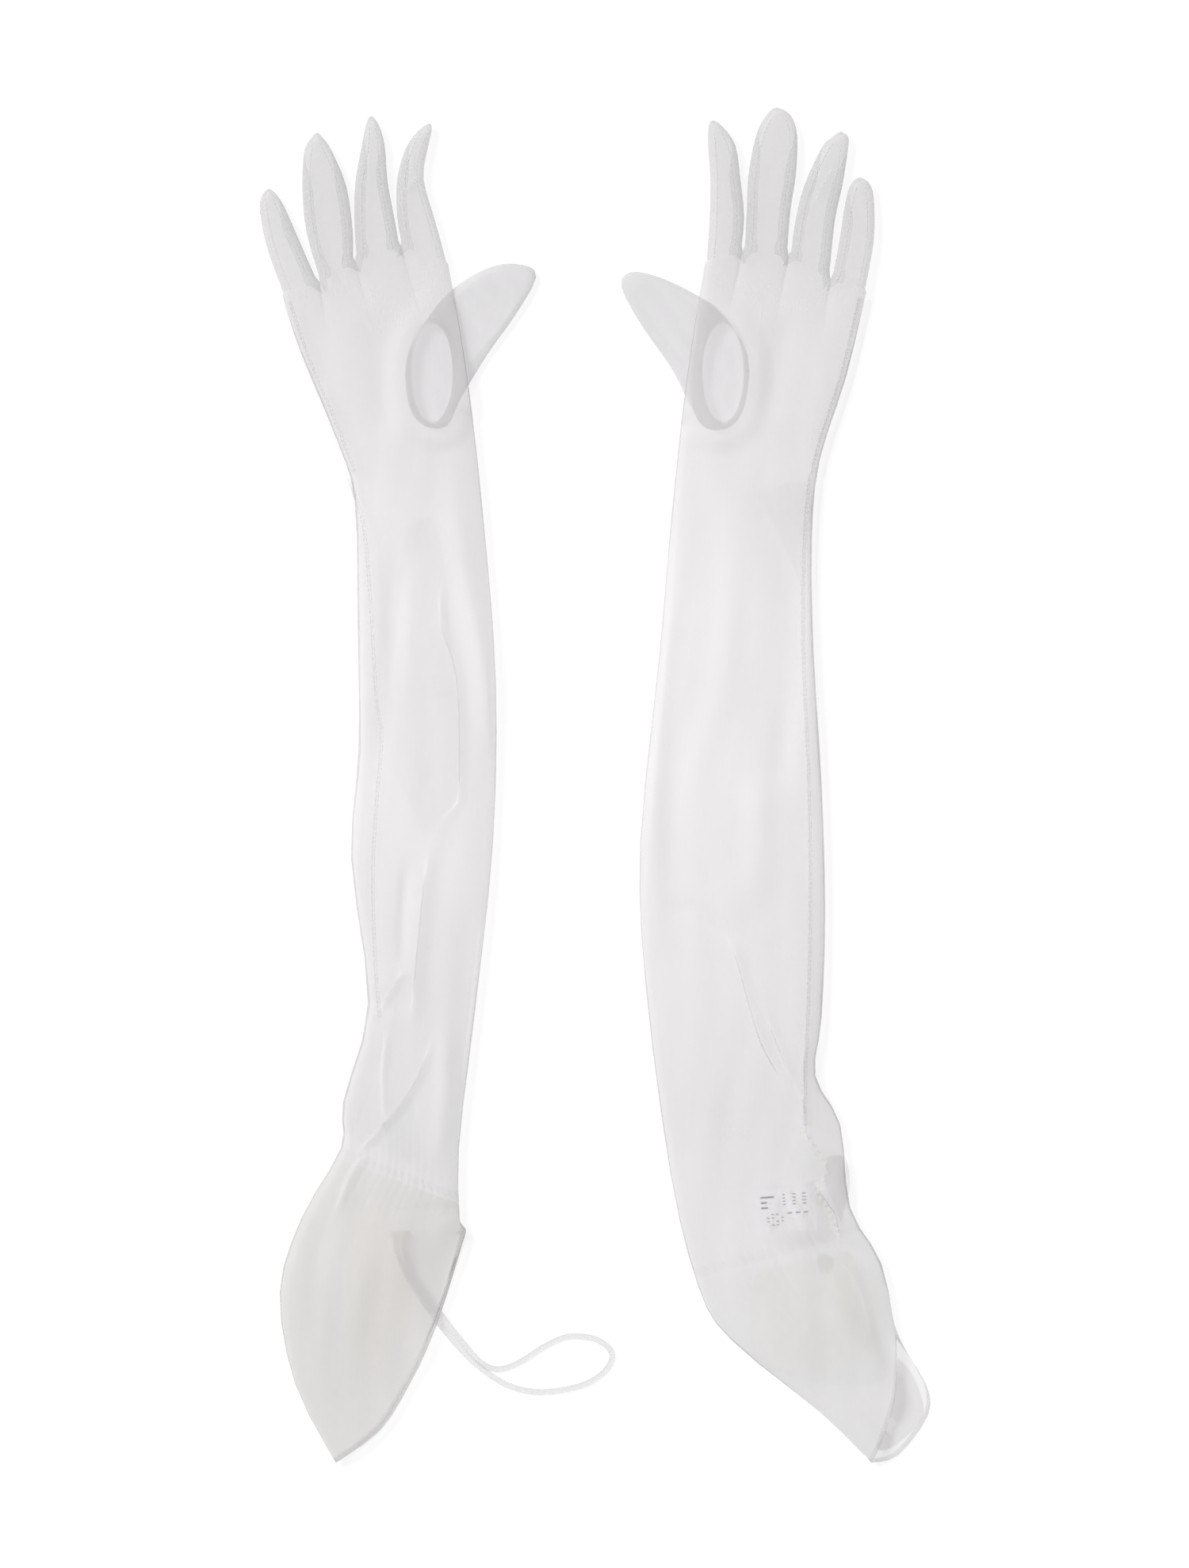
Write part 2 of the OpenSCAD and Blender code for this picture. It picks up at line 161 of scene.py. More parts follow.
class Outline:
    """The plan of some CAD nodes, for finding where a line leaves them."""

    def __init__(self, *nodes):
        starts, ends = [], []
        for node in nodes:
            mesh = frame["nodes"][node].data
            co = np.zeros(len(mesh.vertices) * 3)
            mesh.vertices.foreach_get("co", co)
            edges = np.zeros(len(mesh.edges) * 2, int)
            mesh.edges.foreach_get("vertices", edges)
            co = co.reshape(-1, 3)[:, :2]
            starts.append(co[edges[0::2]])
            ends.append(co[edges[1::2]])
        self.a, self.b = np.vstack(starts), np.vstack(ends)

    def crossings(self, point, direction):
        d = unit(direction)
        n = np.array([-d[1], d[0]])
        sa, sb = (self.a - point) @ n, (self.b - point) @ n
        cut = (sa * sb <= 0) & (np.abs(sa - sb) > 1e-9)
        t = sa[cut] / (sa[cut] - sb[cut])
        return (1 - t) * ((self.a[cut] - point) @ d) + t * ((self.b[cut] - point) @ d)

    def span(self, point, direction):
        d = unit(direction)
        for nudge in (0, 0.4 * MM, -0.4 * MM, 0.8 * MM, -0.8 * MM):  # past a gap between nodes
            found = self.crossings(point + nudge * np.array([-d[1], d[0]]), d)
            if len(found) > 1:
                return point + found.min() * d, point + found.max() * d
        raise ValueError(f"no outline near {point}")

    def trace(self, centre, start, end, count):
        """Points of the outline seen from centre, from one angle to another."""
        found = []
        for angle in np.linspace(start, end, count):
            d = np.array([math.cos(angle), math.sin(angle)])
            found.append(centre + self.crossings(centre, d).max() * d)
        return np.array(found)


def corners(node):
    """A node's points in plan."""
    return np.array([tuple(v.co)[:2] for v in frame["nodes"][node].data.vertices])


def lowest(node):
    plan = corners(node)
    return plan[plan[:, 1].argmin()]


def highest(node):
    plan = corners(node)
    return plan[plan[:, 1].argmax()]


def between(node_a, node_b):
    """The point half way between two nodes, where they are nearest in plan."""
    a, b = corners(node_a), corners(node_b)
    gaps = norms(a[:, None] - b[None])
    i, j = np.unravel_index(gaps.argmin(), gaps.shape)
    return (a[i] + b[j]) / 2


# ---- materials --------------------------------------------------------------------------------

def new_material(name, roughness, **inputs):
    """A new material, with plain values on its shader's inputs."""
    material = bpy.data.materials.new(name)
    material.use_nodes = True
    shader = material.node_tree.nodes["Principled BSDF"]
    inputs = {"Roughness": roughness, "Specular IOR Level": 0.25, **inputs}
    for socket, value in inputs.items():
        shader.inputs[socket].default_value = value
    return material, shader


def add_node(material, kind, inputs, **settings):
    """A shader node: each input gets a plain value or a link from another node's output."""
    tree = material.node_tree
    node = tree.nodes.new(kind)
    for name, value in settings.items():
        setattr(node, name, value)
    for socket, value in inputs.items():
        if isinstance(value, bpy.types.NodeSocket):
            tree.links.new(value, node.inputs[socket])
        else:
            node.inputs[socket].default_value = value
    return node


def mix_colours(material, first, second, factor, blend="MIX"):
    return add_node(material, "ShaderNodeMix", {"A": first, "B": second, "Factor": factor},
                    data_type="RGBA", blend_type=blend).outputs["Result"]


TONE_SPAN = (-0.25, 0.4)  # from below the band to the fingertips
TONES = ((-0.2, 0.83), (0, 0.965), (0.1, 0.97), (0.34, 0.76))  # place up the glove, and tone


def toned(material, place, colour):
    """The colour, deeper towards the hand and towards the band."""
    apart = add_node(material, "ShaderNodeSeparateXYZ", {"Vector": place})
    along = add_node(material, "ShaderNodeMapRange", {
        "From Min": TONE_SPAN[0], "From Max": TONE_SPAN[1], "Value": apart.outputs["Y"]})
    ramp = add_node(material, "ShaderNodeValToRGB", {"Fac": along.outputs["Result"]})
    stops = ramp.color_ramp.elements
    while len(stops) < len(TONES):
        stops.new(0.5)
    for stop, (y, tone) in zip(stops, TONES):
        stop.position = (y - TONE_SPAN[0]) / (TONE_SPAN[1] - TONE_SPAN[0])
        stop.color = (tone, tone, tone, 1)
    return mix_colours(material, colour, ramp.outputs["Color"], 1, "MULTIPLY")


WEAVE_TURN = 0.06  # the threads lie a little askew
DRIFT_SCALE = 14
SLUB_SCALE = 500
SLUB_STRETCH = (1, 0.06, 1)
SLUB_SHARE = 0.035
WEAVE_HEIGHT = 0.15 * MM


def woven(name, base, tint, alpha, thread=0.5 * MM, roughness=0.62, sheen=0.25, depth=0.35):
    """Plain-weave cloth: crossed threads, uneven slubs and a slow drift of colour."""
    material, shader = new_material(name, roughness, Alpha=alpha, **{
        "Sheen Weight": sheen, "Sheen Roughness": 0.4})
    place = add_node(material, "ShaderNodeTexCoord", {}).outputs["Object"]
    turned = add_node(material, "ShaderNodeMapping", {
        "Rotation": (0, 0, WEAVE_TURN), "Vector": place}).outputs["Vector"]
    waves = [add_node(material, "ShaderNodeTexWave", {
        "Scale": math.tau / thread / 20, "Distortion": 0.6, "Detail": 1, "Vector": turned,
    }, bands_direction=direction).outputs["Fac"] for direction in ("X", "Y")]
    weave = add_node(material, "ShaderNodeMath", {0: waves[0], 1: waves[1]}, operation="MAXIMUM")
    height = weave.outputs["Value"]
    drift = add_node(material, "ShaderNodeTexNoise", {
        "Scale": DRIFT_SCALE, "Detail": 4, "Vector": place})
    stretched = add_node(material, "ShaderNodeMapping", {"Scale": SLUB_STRETCH, "Vector": turned})
    slub = add_node(material, "ShaderNodeTexNoise", {
        "Scale": SLUB_SCALE, "Detail": 2, "Vector": stretched.outputs["Vector"]})
    hue = mix_colours(material, (*base, 1), (*tint, 1), drift.outputs["Fac"])
    fine = mix_colours(material, hue, slub.outputs["Fac"], SLUB_SHARE, "MULTIPLY")
    rough = add_node(material, "ShaderNodeMapRange", {
        "To Min": roughness - 0.1, "To Max": roughness + 0.12, "Value": height})
    bump = add_node(material, "ShaderNodeBump", {
        "Strength": depth, "Distance": WEAVE_HEIGHT, "Height": height})
    for source, socket in ((toned(material, place, fine), "Base Color"),
                           (rough.outputs["Result"], "Roughness"),
                           (bump.outputs["Normal"], "Normal")):
        material.node_tree.links.new(source, shader.inputs[socket])
    return material


ORGANZA = woven("organza", (0.83, 0.80, 0.82), (0.73, 0.705, 0.725), 0.35)
CUFF_CLOTHS = {
    "left": woven("organza_left_cuff", (0.84, 0.81, 0.80), (0.74, 0.715, 0.705), 0.44),
    "right": woven("organza_right_cuff", (0.83, 0.805, 0.82), (0.73, 0.71, 0.725), 0.36),
}
THUMB_CLOTH = woven("organza_thumb", (0.90, 0.88, 0.90), (0.82, 0.80, 0.82), 0.46)
DOUBLED = woven("organza_doubled", (0.82, 0.81, 0.77), (0.74, 0.735, 0.70), 0.24)
GORE = woven("organza_gore", (0.76, 0.77, 0.73), (0.67, 0.68, 0.64), 0.15)
KNOTTED = woven("organza_knotted", (0.56, 0.57, 0.52), (0.48, 0.49, 0.44), 0.22)
FRILLED = woven("organza_frilled", (1.0, 1.0, 0.95), (0.95, 0.96, 0.90), 0.26)
FOLDED = woven("organza_folded", (0.74, 0.715, 0.73), (0.66, 0.635, 0.65), 0.13)
TURNED = woven("organza_turned", (0.76, 0.75, 0.73), (0.67, 0.66, 0.64), 0.11)
CREAM = woven("organza_cream", (0.93, 0.975, 0.86), (0.87, 0.915, 0.80), 0.15)
FACING = woven("organza_facing", (1.0, 0.94, 0.62), (0.97, 0.90, 0.58), 0.032)
RIM = woven("organza_rim", (0.98, 0.97, 0.95), (0.92, 0.91, 0.89), 0.14)
HEM = woven("organza_hem", (0.80, 0.79, 0.80), (0.72, 0.71, 0.72), 0.20)
THREAD = woven("thread", (1.0, 0.99, 0.97), (0.95, 0.94, 0.92), 0.6, 0.3 * MM)
SATIN = woven("satin_ribbon", (0.96, 0.95, 0.97), (0.88, 0.87, 0.90), 0.36, 0.6 * MM, 0.38, 0.3, 0.6)
RUBBER = woven("woven_elastic", (0.9, 0.9, 0.89), (0.84, 0.84, 0.83), 0.06, 0.7 * MM, 0.7, 0.2, 0.8)
LABEL = woven("label_tape", (1.0, 0.99, 1.0), (0.97, 0.96, 0.98), 0.8, 0.25 * MM, 0.5, 0.2, 0.25)
INK = woven("label_print", (0.2, 0.2, 0.21), (0.3, 0.3, 0.3), 0.75, 0.25 * MM, 0.6, 0.0, 0.1)

LABEL_PAINTED_GLOW = 0.16  # painted light: the label tape glows a little, to lift the shade that the upper layer casts on it
label_shader = LABEL.node_tree.nodes["Principled BSDF"]
label_shader.inputs["Emission Color"].default_value = (1, 1, 1, 1)
label_shader.inputs["Emission Strength"].default_value = LABEL_PAINTED_GLOW


# ---- camera, floor and light ------------------------------------------------------------------

CAMERA_SPAN = 0.8901  # metres from the top of the picture to its bottom
CAMERA_HEIGHT = 6
TABLE_HALF = 4
FLOOR_SHADE = 0.28
FLOOR_GLOW = 0.75  # a lit table: it keeps the shadows faint
WHITE = (1, 1, 1, 1)


def add_camera():
    camera = bpy.data.cameras.new("camera")
    camera.type = "ORTHO"
    camera.ortho_scale = CAMERA_SPAN
    camera.clip_end = 30
    holder = add_object("camera", camera)
    holder.location = (0, 0.5 * MM, CAMERA_HEIGHT)
    bpy.context.scene.camera = holder


def add_floor():
    mesh = bpy.data.meshes.new("floor")
    corner = ((-1, -1), (1, -1), (1, 1), (-1, 1))
    mesh.from_pydata([(x * TABLE_HALF, y * TABLE_HALF, 0) for x, y in corner], [], [(0, 1, 2, 3)])
    floor = add_object("floor", mesh)
    floor.location.z = -0.05 * MM
    material, _ = new_material("floor", 0.9, **{
        "Base Color": (FLOOR_SHADE, FLOOR_SHADE, FLOOR_SHADE, 1), "Specular IOR Level": 0,
        "Emission Color": WHITE, "Emission Strength": FLOOR_GLOW})
    mesh.materials.append(material)


def add_light(name, place, spread, strength):
    """A large soft lamp so far away that it lights the whole table evenly."""
    light = bpy.data.lights.new(name, "SUN")
    light.angle = spread
    light.energy = strength
    holder = add_object(name, light)
    holder.location = place
    holder.rotation_euler = (-Vector(place)).to_track_quat("-Z", "Y").to_euler()


def add_studio():
    add_floor()
    add_light("key", (-1.5, 1.1, 1.35), 0.4, 3.3)
    add_light("fill", (1.6, -0.6, 1.9), 0.9, 0.5)
    world = bpy.data.worlds.new("studio")
    bpy.context.scene.world = world
    world.use_nodes = True
    sky = world.node_tree.nodes["Background"]
    sky.inputs["Color"].default_value = WHITE
    sky.inputs["Strength"].default_value = 0.34
    bpy.context.scene.view_settings.view_transform = "Standard"
    bpy.context.scene.cycles.transparent_max_bounces = 48


# ---- the ribbon strap -------------------------------------------------------------------------

STRAP_ROUTE = [
    (-112.2, -258, 2.4), (-112.2, -264, 2.4), (-106, -279, 2.6), (-97, -293, 3),
    (-87, -307, 1.6), (-77.4, -318.6, 0.6), (-66.5, -329.4, 0.55), (-50, -340.4, 0.55),
    (-31.5, -344.6, 0.55), (-9, -341.4, 0.55), (5, -333.6, 0.55), (10, -323.4, 0.55),
    (2, -315.2, 0.55), (-13.5, -313, 0.55), (-27, -318, 0.55), (-42, -327.4, 0.55),
    (-54, -331.6, 0.7), (-64, -328.4, 1.7), (-74.4, -317.2, 1.8), (-84, -305.2, 2.9),
    (-93.6, -292, 4.3), (-102.2, -278.6, 4), (-107.6, -264, 3.6), (-107.6, -258, 3.6),
]
STRAP_WIDTH = 3.4 * MM
STRAP_THICKNESS = 0.8 * MM
STRAP_STEPS = 8


def ribbon_section():
    """A flat ribbon's cross-section, thicker along its two selvedges."""
    half = [(1, 0), (0.97, 0.36), (0.88, 0.5), (0.76, 0.42), (0.66, 0.24), (0.33, 0.2), (0, 0.19)]
    top = half + [(-x, z) for x, z in reversed(half[:-1])]
    ring = top + [(x, -z) for x, z in reversed(top[1:-1])]
    return np.array(ring) * (STRAP_WIDTH / 2, STRAP_THICKNESS)


def add_strap():
    route = spline(np.array(STRAP_ROUTE) * MM, STRAP_STEPS)
    ahead = np.gradient(route, axis=0)
    ahead[0, 0] = ahead[-1, 0] = 0
    across = np.column_stack([-ahead[:, 1], ahead[:, 0], np.zeros(len(route))])
    across /= norms(across)[:, None]
    section = ribbon_section()
    rings = (route[:, None] + section[None, :, :1] * across[:, None]
             + section[None, :, 1:] * np.array([0, 0, 1.0]))
    count = len(section)
    faces = quads(len(route), count, closed=True)
    last = (len(route) - 1) * count
    faces += [tuple(range(count))[::-1], tuple(range(last, last + count))]
    strap = piece("strap_ribbon", rings, faces, SATIN)
    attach(strap, "strap")
    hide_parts("strap_loop")
    return strap, route, float(arc(route)[-1])


TAB_POINTS = 24
TAB_ROUNDING = 0.4  # 1 gives an oval tab, 0 a square one
# Each ring of the tab: its share of the tab's size, and its height from -1 to 1
TAB_RINGS = ((0.6, -1), (0.94, -0.96), (1, -0.7), (1, -0.2), (0.97, 0), (1, 0.2), (1, 0.7),
             (0.94, 0.96), (0.6, 1))


def add_tack():
    """The tab that holds both ends of the ribbon: a folded scrap of cloth."""
    low, high = (np.array(c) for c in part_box("strap_tack"))
    centre, half = (low + high) / 2, (high - low) / 2
    angles = math.tau * np.arange(TAB_POINTS) / TAB_POINTS
    ring = [[abs(c) ** TAB_ROUNDING * math.copysign(1, c) for c in (math.cos(a), math.sin(a))]
            for a in angles]
    points = [centre + half * (share * x, share * y, z) for share, z in TAB_RINGS for x, y in ring]
    faces = quads(len(TAB_RINGS), TAB_POINTS, closed=True)
    last = len(points) - TAB_POINTS
    faces += [tuple(range(TAB_POINTS))[::-1], tuple(range(last, last + TAB_POINTS))]
    tab = piece("strap_tab", points, faces, DOUBLED)
    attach(tab, "strap")
    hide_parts("strap_tack")
    return tab


add_camera()
strap, strap_path, strap_length = add_strap()
tack = add_tack()
add_studio()


# ---- the gloves' driving sizes ----------------------------------------------------------------

FINGER_COLUMNS = 24  # steps across one finger's upper layer; the hand has four times as many
COLUMNS = FINGER_COLUMNS * len(FINGERS)
ROW_STEP = 1.7 * MM
HAND_STEP = 1.6 * MM
FLOOR = 0.25 * MM
CROWN = 12.2 * MM  # height of the puffed sleeve
HAND_CROWN = 8.6 * MM  # height of the hand at the knuckles, and of the fingers
EDGE = 4.2 * MM  # height of the folded edge of the sleeve
FINGER_EDGE = 4.0 * MM
PALM_LIFT = 6.0 * MM  # the palm over the thumb
CASING = 7 * MM
BEND = 14 * MM  # half the length over which a sleeve bends
FINGER_BEND = 11 * MM
HOLE_HALF = np.array([12.5, 29]) * MM
ELBOW_JOIN = 50 * MM  # the upper piece of the sleeve meets the lower one here
WRIST_JOIN = 176 * MM
TUCK = 0.6 * MM  # how far a tube's thumb side is folded in between its layers
SEAM_TUCK = 1.0 * MM  # the same on the seam side
TUCK_GAP = 0.4 * MM
PROUD = 3 * MM  # how far the folds may rise above the puffed sleeve

# Folds of the upper layer: its line in millimetres, rise, half width, and how far it laps over
FOLDS = {
    "left": [
        ([(-80, 178), (-77, 141), (-72, 112), (-66, 84), (-61, 50), (-59, 8)], 3.2, 7.5, 0),
        ([(-87, 126), (-88, 95), (-81, 72), (-77.4, 49), (-77, -2), (-80, -12), (-89, -21),
          (-97, -30)], 1.6, 2.2, 2.2),
        ([(-108, 152), (-114, 95), (-119, 49), (-121, -5)], -2.4, 7, 0),
        ([(-94.5, -30), (-99.5, -81), (-103, -118), (-106, -140)], 2.0, 3.0, 2.8),
        ([(-106, -40), (-109, -80), (-109, -108)], -1.8, 3.4, 0),
        ([(-109, -104), (-115, -116), (-123, -128)], 1.3, 1.7, 1.8),
        ([(-92, -140), (-100, -165), (-112, -184), (-125, -198), (-139, -212)], 1.5, 1.9, 2.0),
        ([(-118, -132), (-121, -165), (-119, -206)], 1.0, 2.2, 1.4),
        ([(-84, -130), (-85, -175), (-90, -224)], 2.2, 6, 0),
        ([(-70, -60), (-74, -120), (-80, -180)], -1.6, 8, 0),
        ([(-128, -205), (-140, -222), (-149, -246)], 0.8, 2.6, 1.0),
        ([(-128, -262), (-136, -300), (-142, -350)], 0.6, 8, 0),
        ([(-152, -240), (-160, -280), (-158, -330)], -0.6, 6, 0),
        ([(-150, 180), (-152, 205), (-158, 232)], 1.6, 7, 0),
        ([(-120, 190), (-122, 235), (-130, 275)], -1.8, 10, 0),
    ],
    "right": [
        ([(82, 200), (80, 130), (74, 60), (64, 0)], 2.6, 10, 0),
        ([(52, 190), (48, 120), (38, 50), (33, -20), (36, -100)], 1.6, 6, 0),
        ([(106, 170), (112, 110), (108, 40), (104, -20)], -2.2, 9, 0),
        ([(52, 60), (46, 0), (44, -60), (50, -120)], -1.6, 9, 0),
        ([(92, 10), (92, -40), (84, -78)], 2.2, 11, 0),
        ([(68, -74), (80, -98), (88, -126), (97, -152), (118, -186)], 1.5, 2.2, 2.1),
        ([(94, -124), (108, -158), (121, -190)], 1.3, 1.9, 1.7),
        ([(40, -66), (56, -72), (74, -84), (86, -92)], -1.4, 5, 0),
        ([(119, -140), (119, -170), (121, -200), (132, -213)], 1.4, 1.8, 1.8),
        ([(125, -226), (131, -236), (137, -245), (139, -262)], 1.2, 1.6, 1.6),
        ([(60, -150), (66, -200), (70, -250)], 0.6, 9, 0),
        ([(129, -273), (140, -272), (151, -290), (158, -322)], 0.6, 2.6, 1.0),
        ([(96, -330), (122, -338), (146, -352)], 0.5, 6, 0),
        ([(100, 200), (102, 235), (108, 270)], -1.8, 11, 0),
    ],
}
# The seam down the little finger's side, below the hand, in millimetres
SIDE_SEAM = {
    "left": [(-141, 178), (-131.4, 148), (-127.6, 107), (-124, 50), (-121, 27), (-124.6, -20),
             (-126, -57), (-124.2, -106), (-122.4, -128), (-121, -160), (-121.6, -206)],
    "right": [(122.2, 178), (119, 140), (118.4, 76), (121.6, 0), (122.4, -72), (121, -132),
              (119.6, -165), (119.8, -206), (123, -250)],
}


class Glove:
    """One glove's outlines, joints and directions."""

    def __init__(self, side):
        self.side = side
        self.outer = -1 if side == "left" else 1  # the little finger's side, along X
        self.sleeve = Outline(f"{side}_upper_sleeve", f"{side}_band_casing",
                              f"{side}_forearm_sleeve")
        self.arm = Outline(f"{side}_upper_sleeve", f"{side}_band_casing",
                           f"{side}_forearm_sleeve", f"{side}_cuff")
        self.palm = Outline(f"{side}_hand_shell")
        self.cuff = Outline(f"{side}_cuff", f"{side}_cuff_hem", f"{side}_band_casing")
        self.thumb = Outline(f"{side}_thumb")
        self.elbow = JOINTS[f"{side}_elbow_fold"]["pos_m"][1]
        self.wrist = JOINTS[f"{side}_wrist_fold"]["pos_m"][1]
        self.hole = np.array(JOINTS[f"{side}_thumb_swing"]["pos_m"][:2])
        fold = JOINTS[f"{side}_cuff_fold"]
        along = np.array(fold["axis"][:2])
        self.band_line = unit(along * math.copysign(1, along[0]))
        self.band_up = np.array([-self.band_line[1], self.band_line[0]])
        self.band_low = np.array(fold["pos_m"][:2])
        names = [f"{side}_{finger}_finger" for finger in FINGERS]
        knuckles = [lowest(names[0]), *(between(a, b) for a, b in zip(names, names[1:])),
                    lowest(names[-1])]
        self.knuckles = np.array(knuckles if self.outer < 0 else knuckles[::-1])
        self.order = FINGERS if self.outer < 0 else FINGERS[::-1]  # from west to east
        self.sheets = {}  # what is kept of each sheet: the piece, its cut and its trims
        turns = np.linspace(0, math.tau, 145)[:-1]
        self.thumb_ring = self.thumb.trace(self.hole, 0, math.tau, 145)[:-1]
        self.thumb_radii = (turns, norms(self.thumb_ring - self.hole))

    def body(self, name):
        return f"{self.side}_{name}"

    def sheet(self, name, obj, cut, held="laid", rests_on=("floor",)):
        """Keeps a sheet of cloth, its flat size and area, with room for its trims."""
        self.sheets[name] = {"obj": obj, "cut": cut, "held": held, "on": rests_on, "trims": []}

    def add(self, name, grid, material, zone, slot="organza_doubled", replaced=None,
            sewn_to=None, faces=None, closed=False, merge=False):
        """A new piece of this glove: a grid of points, unless its faces are given."""
        faces = faces or quads(len(grid), len(grid[0]), closed)
        obj = piece(self.body(name), grid, faces, material)
        if merge:
            merge_close(obj)
        if replaced:
            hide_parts(self.body(replaced))
        if sewn_to:
            self.sheets[sewn_to]["trims"].append(obj)
        return self.place(obj, zone)

    def declare(self):
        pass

    def place(self, obj, zone):
        """Makes a piece follow the body of its zone; a piece whose zone lies between two bodies is
        left where it is, unattached.
        """
        if zone in ("upper", "hand", "thumb", "cuff"):
            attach(obj, self.body(zone))
            return obj
        if zone == "elbow":
            bodies, start, end = ("upper", "forearm"), (0, self.elbow - BEND), (0, self.elbow + BEND)
        elif zone == "wrist":
            bodies, start, end = ("forearm", "hand"), (0, self.wrist - BEND), (0, self.wrist + BEND)
        elif zone == "rim":
            bodies, start = ("upper", "cuff"), self.band_low
            end = start - self.band_up * BEND
        else:
            start, ahead = self.finger_axis(zone)
            bodies, end = ("hand", zone), start + ahead * FINGER_BEND
        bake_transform(obj)
        return obj

    def finger_axis(self, finger):
        """The middle of a finger's root line, and the way square to it."""
        i = self.order.index(finger)
        west, east = self.knuckles[i], self.knuckles[i + 1]
        across = unit(east - west)
        return (west + east) / 2, np.array([-across[1], across[0]])

    def lift(self, xy):
        """How far the palm is held up by the thumb under it."""
        offset = xy - self.hole
        angle = np.arctan2(offset[..., 1], offset[..., 0]) % math.tau
        radius = np.interp(angle, *self.thumb_radii, period=math.tau)
        flat = xy.reshape(-1, 2)
        gap = np.full(len(flat), 1.0)
        for point in self.thumb_ring:
            gap = np.minimum(gap, norms(flat - point))
        gap = gap.reshape(angle.shape)
        gap[norms(offset) < radius] = 0
        return PALM_LIFT * (1 - smooth((gap - 5 * MM) / (10 * MM)))


def columns(count):
    k = np.linspace(-1, 1, count + 1)
    return 0.5 * k + 0.5 * np.sin(k * math.pi / 2)


def crown_height(y):
    """Height of the upper layer along the glove: it goes down over the hand."""
    return lerp(CROWN, HAND_CROWN, smooth((y - 0.2) / 0.09))


def waves(xy, seed):
    """Slow unevenness of hand-laid cloth, from -1 to 1."""
    x, y = xy[..., 0], xy[..., 1]
    return (0.5 * np.sin(x * 190 + 14 * y + 2.4 * np.sin(y * 17 + seed) + seed)
            + 0.3 * np.sin(x * 330 - 22 * y + 1.9 * np.sin(y * 29 + 2 * seed))
            + 0.2 * np.sin(y * 62 + 3 * np.sin(x * 60 + seed)))


def nearest_on(curve, flat):
    """For each point: its distance from the curve, on which side, how far along, and sideways."""
    ahead = np.gradient(curve, axis=0)
    ahead /= norms(ahead)[:, None]
    along = arc(curve)
    best = np.full(len(flat), np.inf)
    signed, place, side = np.zeros(len(flat)), np.zeros(len(flat)), np.zeros((len(flat), 2))
    for i, (start, step) in enumerate(zip(curve, np.diff(curve, axis=0))):
        t = np.clip(((flat - start) @ step) / (step @ step), 0, 1)
        off = flat - start - t[:, None] * step
        gap = norms(off)
        near = gap < best
        normal = np.array([ahead[i][1], -ahead[i][0]])
        best[near] = gap[near]
        signed[near] = (off @ normal)[near]
        place[near] = (along[i] + t * (along[i + 1] - along[i]))[near]
        side[near] = normal
    return best, signed, place / along[-1], side


FOLD_FADE = 0.28  # the share of a fold's length over which each end dies away


def fold_shift(points, folds):
    """Moves the upper layer's points into its folds; laps go over their other side."""
    moved = points.copy()
    shift = moved.reshape(-1, 3)
    for line, rise, width, lap in folds:
        curve = spline(np.array(line, float) * MM, 6)
        rise, width, lap = rise * MM, width * MM, lap * MM
        best, signed, place, side = nearest_on(curve, points.reshape(-1, 3)[:, :2])
        taper = smooth(place / FOLD_FADE) * smooth((1 - place) / FOLD_FADE)
        taper *= smooth(2.2 - best / (2 * width))
        d = signed / width
        push = -lap * taper * d * np.exp(0.5 - 0.5 * d * d)
        shift[:, :2] += push[:, None] * side
        crest = ((d + 0.9) / 1.1) ** 2 if lap else d * d
        shift[:, 2] += rise * taper * np.exp(-crest)
    return moved


def rounded(top_xy, low_xy, s, edges, middles):
    """Both layers' points, whose heights go round from those of the edges to the middles'."""
    round_top = (1 - np.abs(s) ** 2.4).clip(0) ** 0.5
    round_low = (1 - np.abs(s) ** 3).clip(0) ** 0.4
    top_z = edges[0] + (middles[0] - edges[0]) * round_top
    low_z = edges[1] - (edges[1] - middles[1]) * round_low
    return (np.concatenate([top_xy, top_z[..., None]], axis=2),
            np.concatenate([low_xy, low_z[..., None]], axis=2))


def layers(west, east, s, glove, ripple=0, crown=None, rims=(0, 0)):
    """The upper and lower layers of a stretch of tube, as two grids of points."""
    s = np.broadcast_to(s, (len(west), s.shape[-1]))
    share = ((s + 1) / 2)[..., None]
    plan = west[:, None] * (1 - share) + east[:, None] * share
    top_xy, low_xy = (plan + rim for rim in rims)
    lift = glove.lift(low_xy)
    side_lift = lerp(lift[:, :1], lift[:, -1:], (s + 1) / 2)
    edge = np.maximum(EDGE, side_lift + 1.4 * MM)
    edge = lerp(edge, FINGER_EDGE, smooth((low_xy[..., 1] - 0.262) / 0.03))
    high = crown_height(top_xy[..., 1]) if crown is None else crown
    high = high + 0.5 * MM * waves(top_xy, glove.outer) + ripple
    top, low = rounded(top_xy, low_xy, s, (edge, edge), (high, np.maximum(FLOOR, lift)))
    folded = fold_shift(top, FOLDS[glove.side])
    inside = smooth((1 - np.abs(s)) / 0.12)[..., None]
    top = lerp(top, folded, inside)
    top[..., 2] = np.minimum(top[..., 2], cad_box[1][2] + PROUD)
    return top, low


def tucked(glove, top, low, share=1.0):
    """Rings of a flattened tube whose two sides are folded in a little between its layers."""
    rows = len(top)
    share = np.broadcast_to(share, rows)[:, None]
    across = top[:, -1] - top[:, 0]
    across /= norms(across)[:, None]
    y = top[:, :1, 1]
    uneven = 1 + 0.16 * np.sin(y * 90) + 0.12 * np.sin(y * 37 + 1)
    reach = {glove.outer: SEAM_TUCK, -glove.outer: TUCK}
    middle_west, middle_east = (top[:, 0] + low[:, 0]) / 2, (top[:, -1] + low[:, -1]) / 2
    west = middle_west + across * reach[-1] * uneven * share
    east = middle_east - across * reach[1] * uneven * share
    for column in (0, -1):
        top[:, column, 2] += TUCK_GAP * share[:, 0]
        low[:, column, 2] -= TUCK_GAP * share[:, 0]
    return np.concatenate([top, east[:, None], low[:, ::-1], west[:, None]], axis=1)


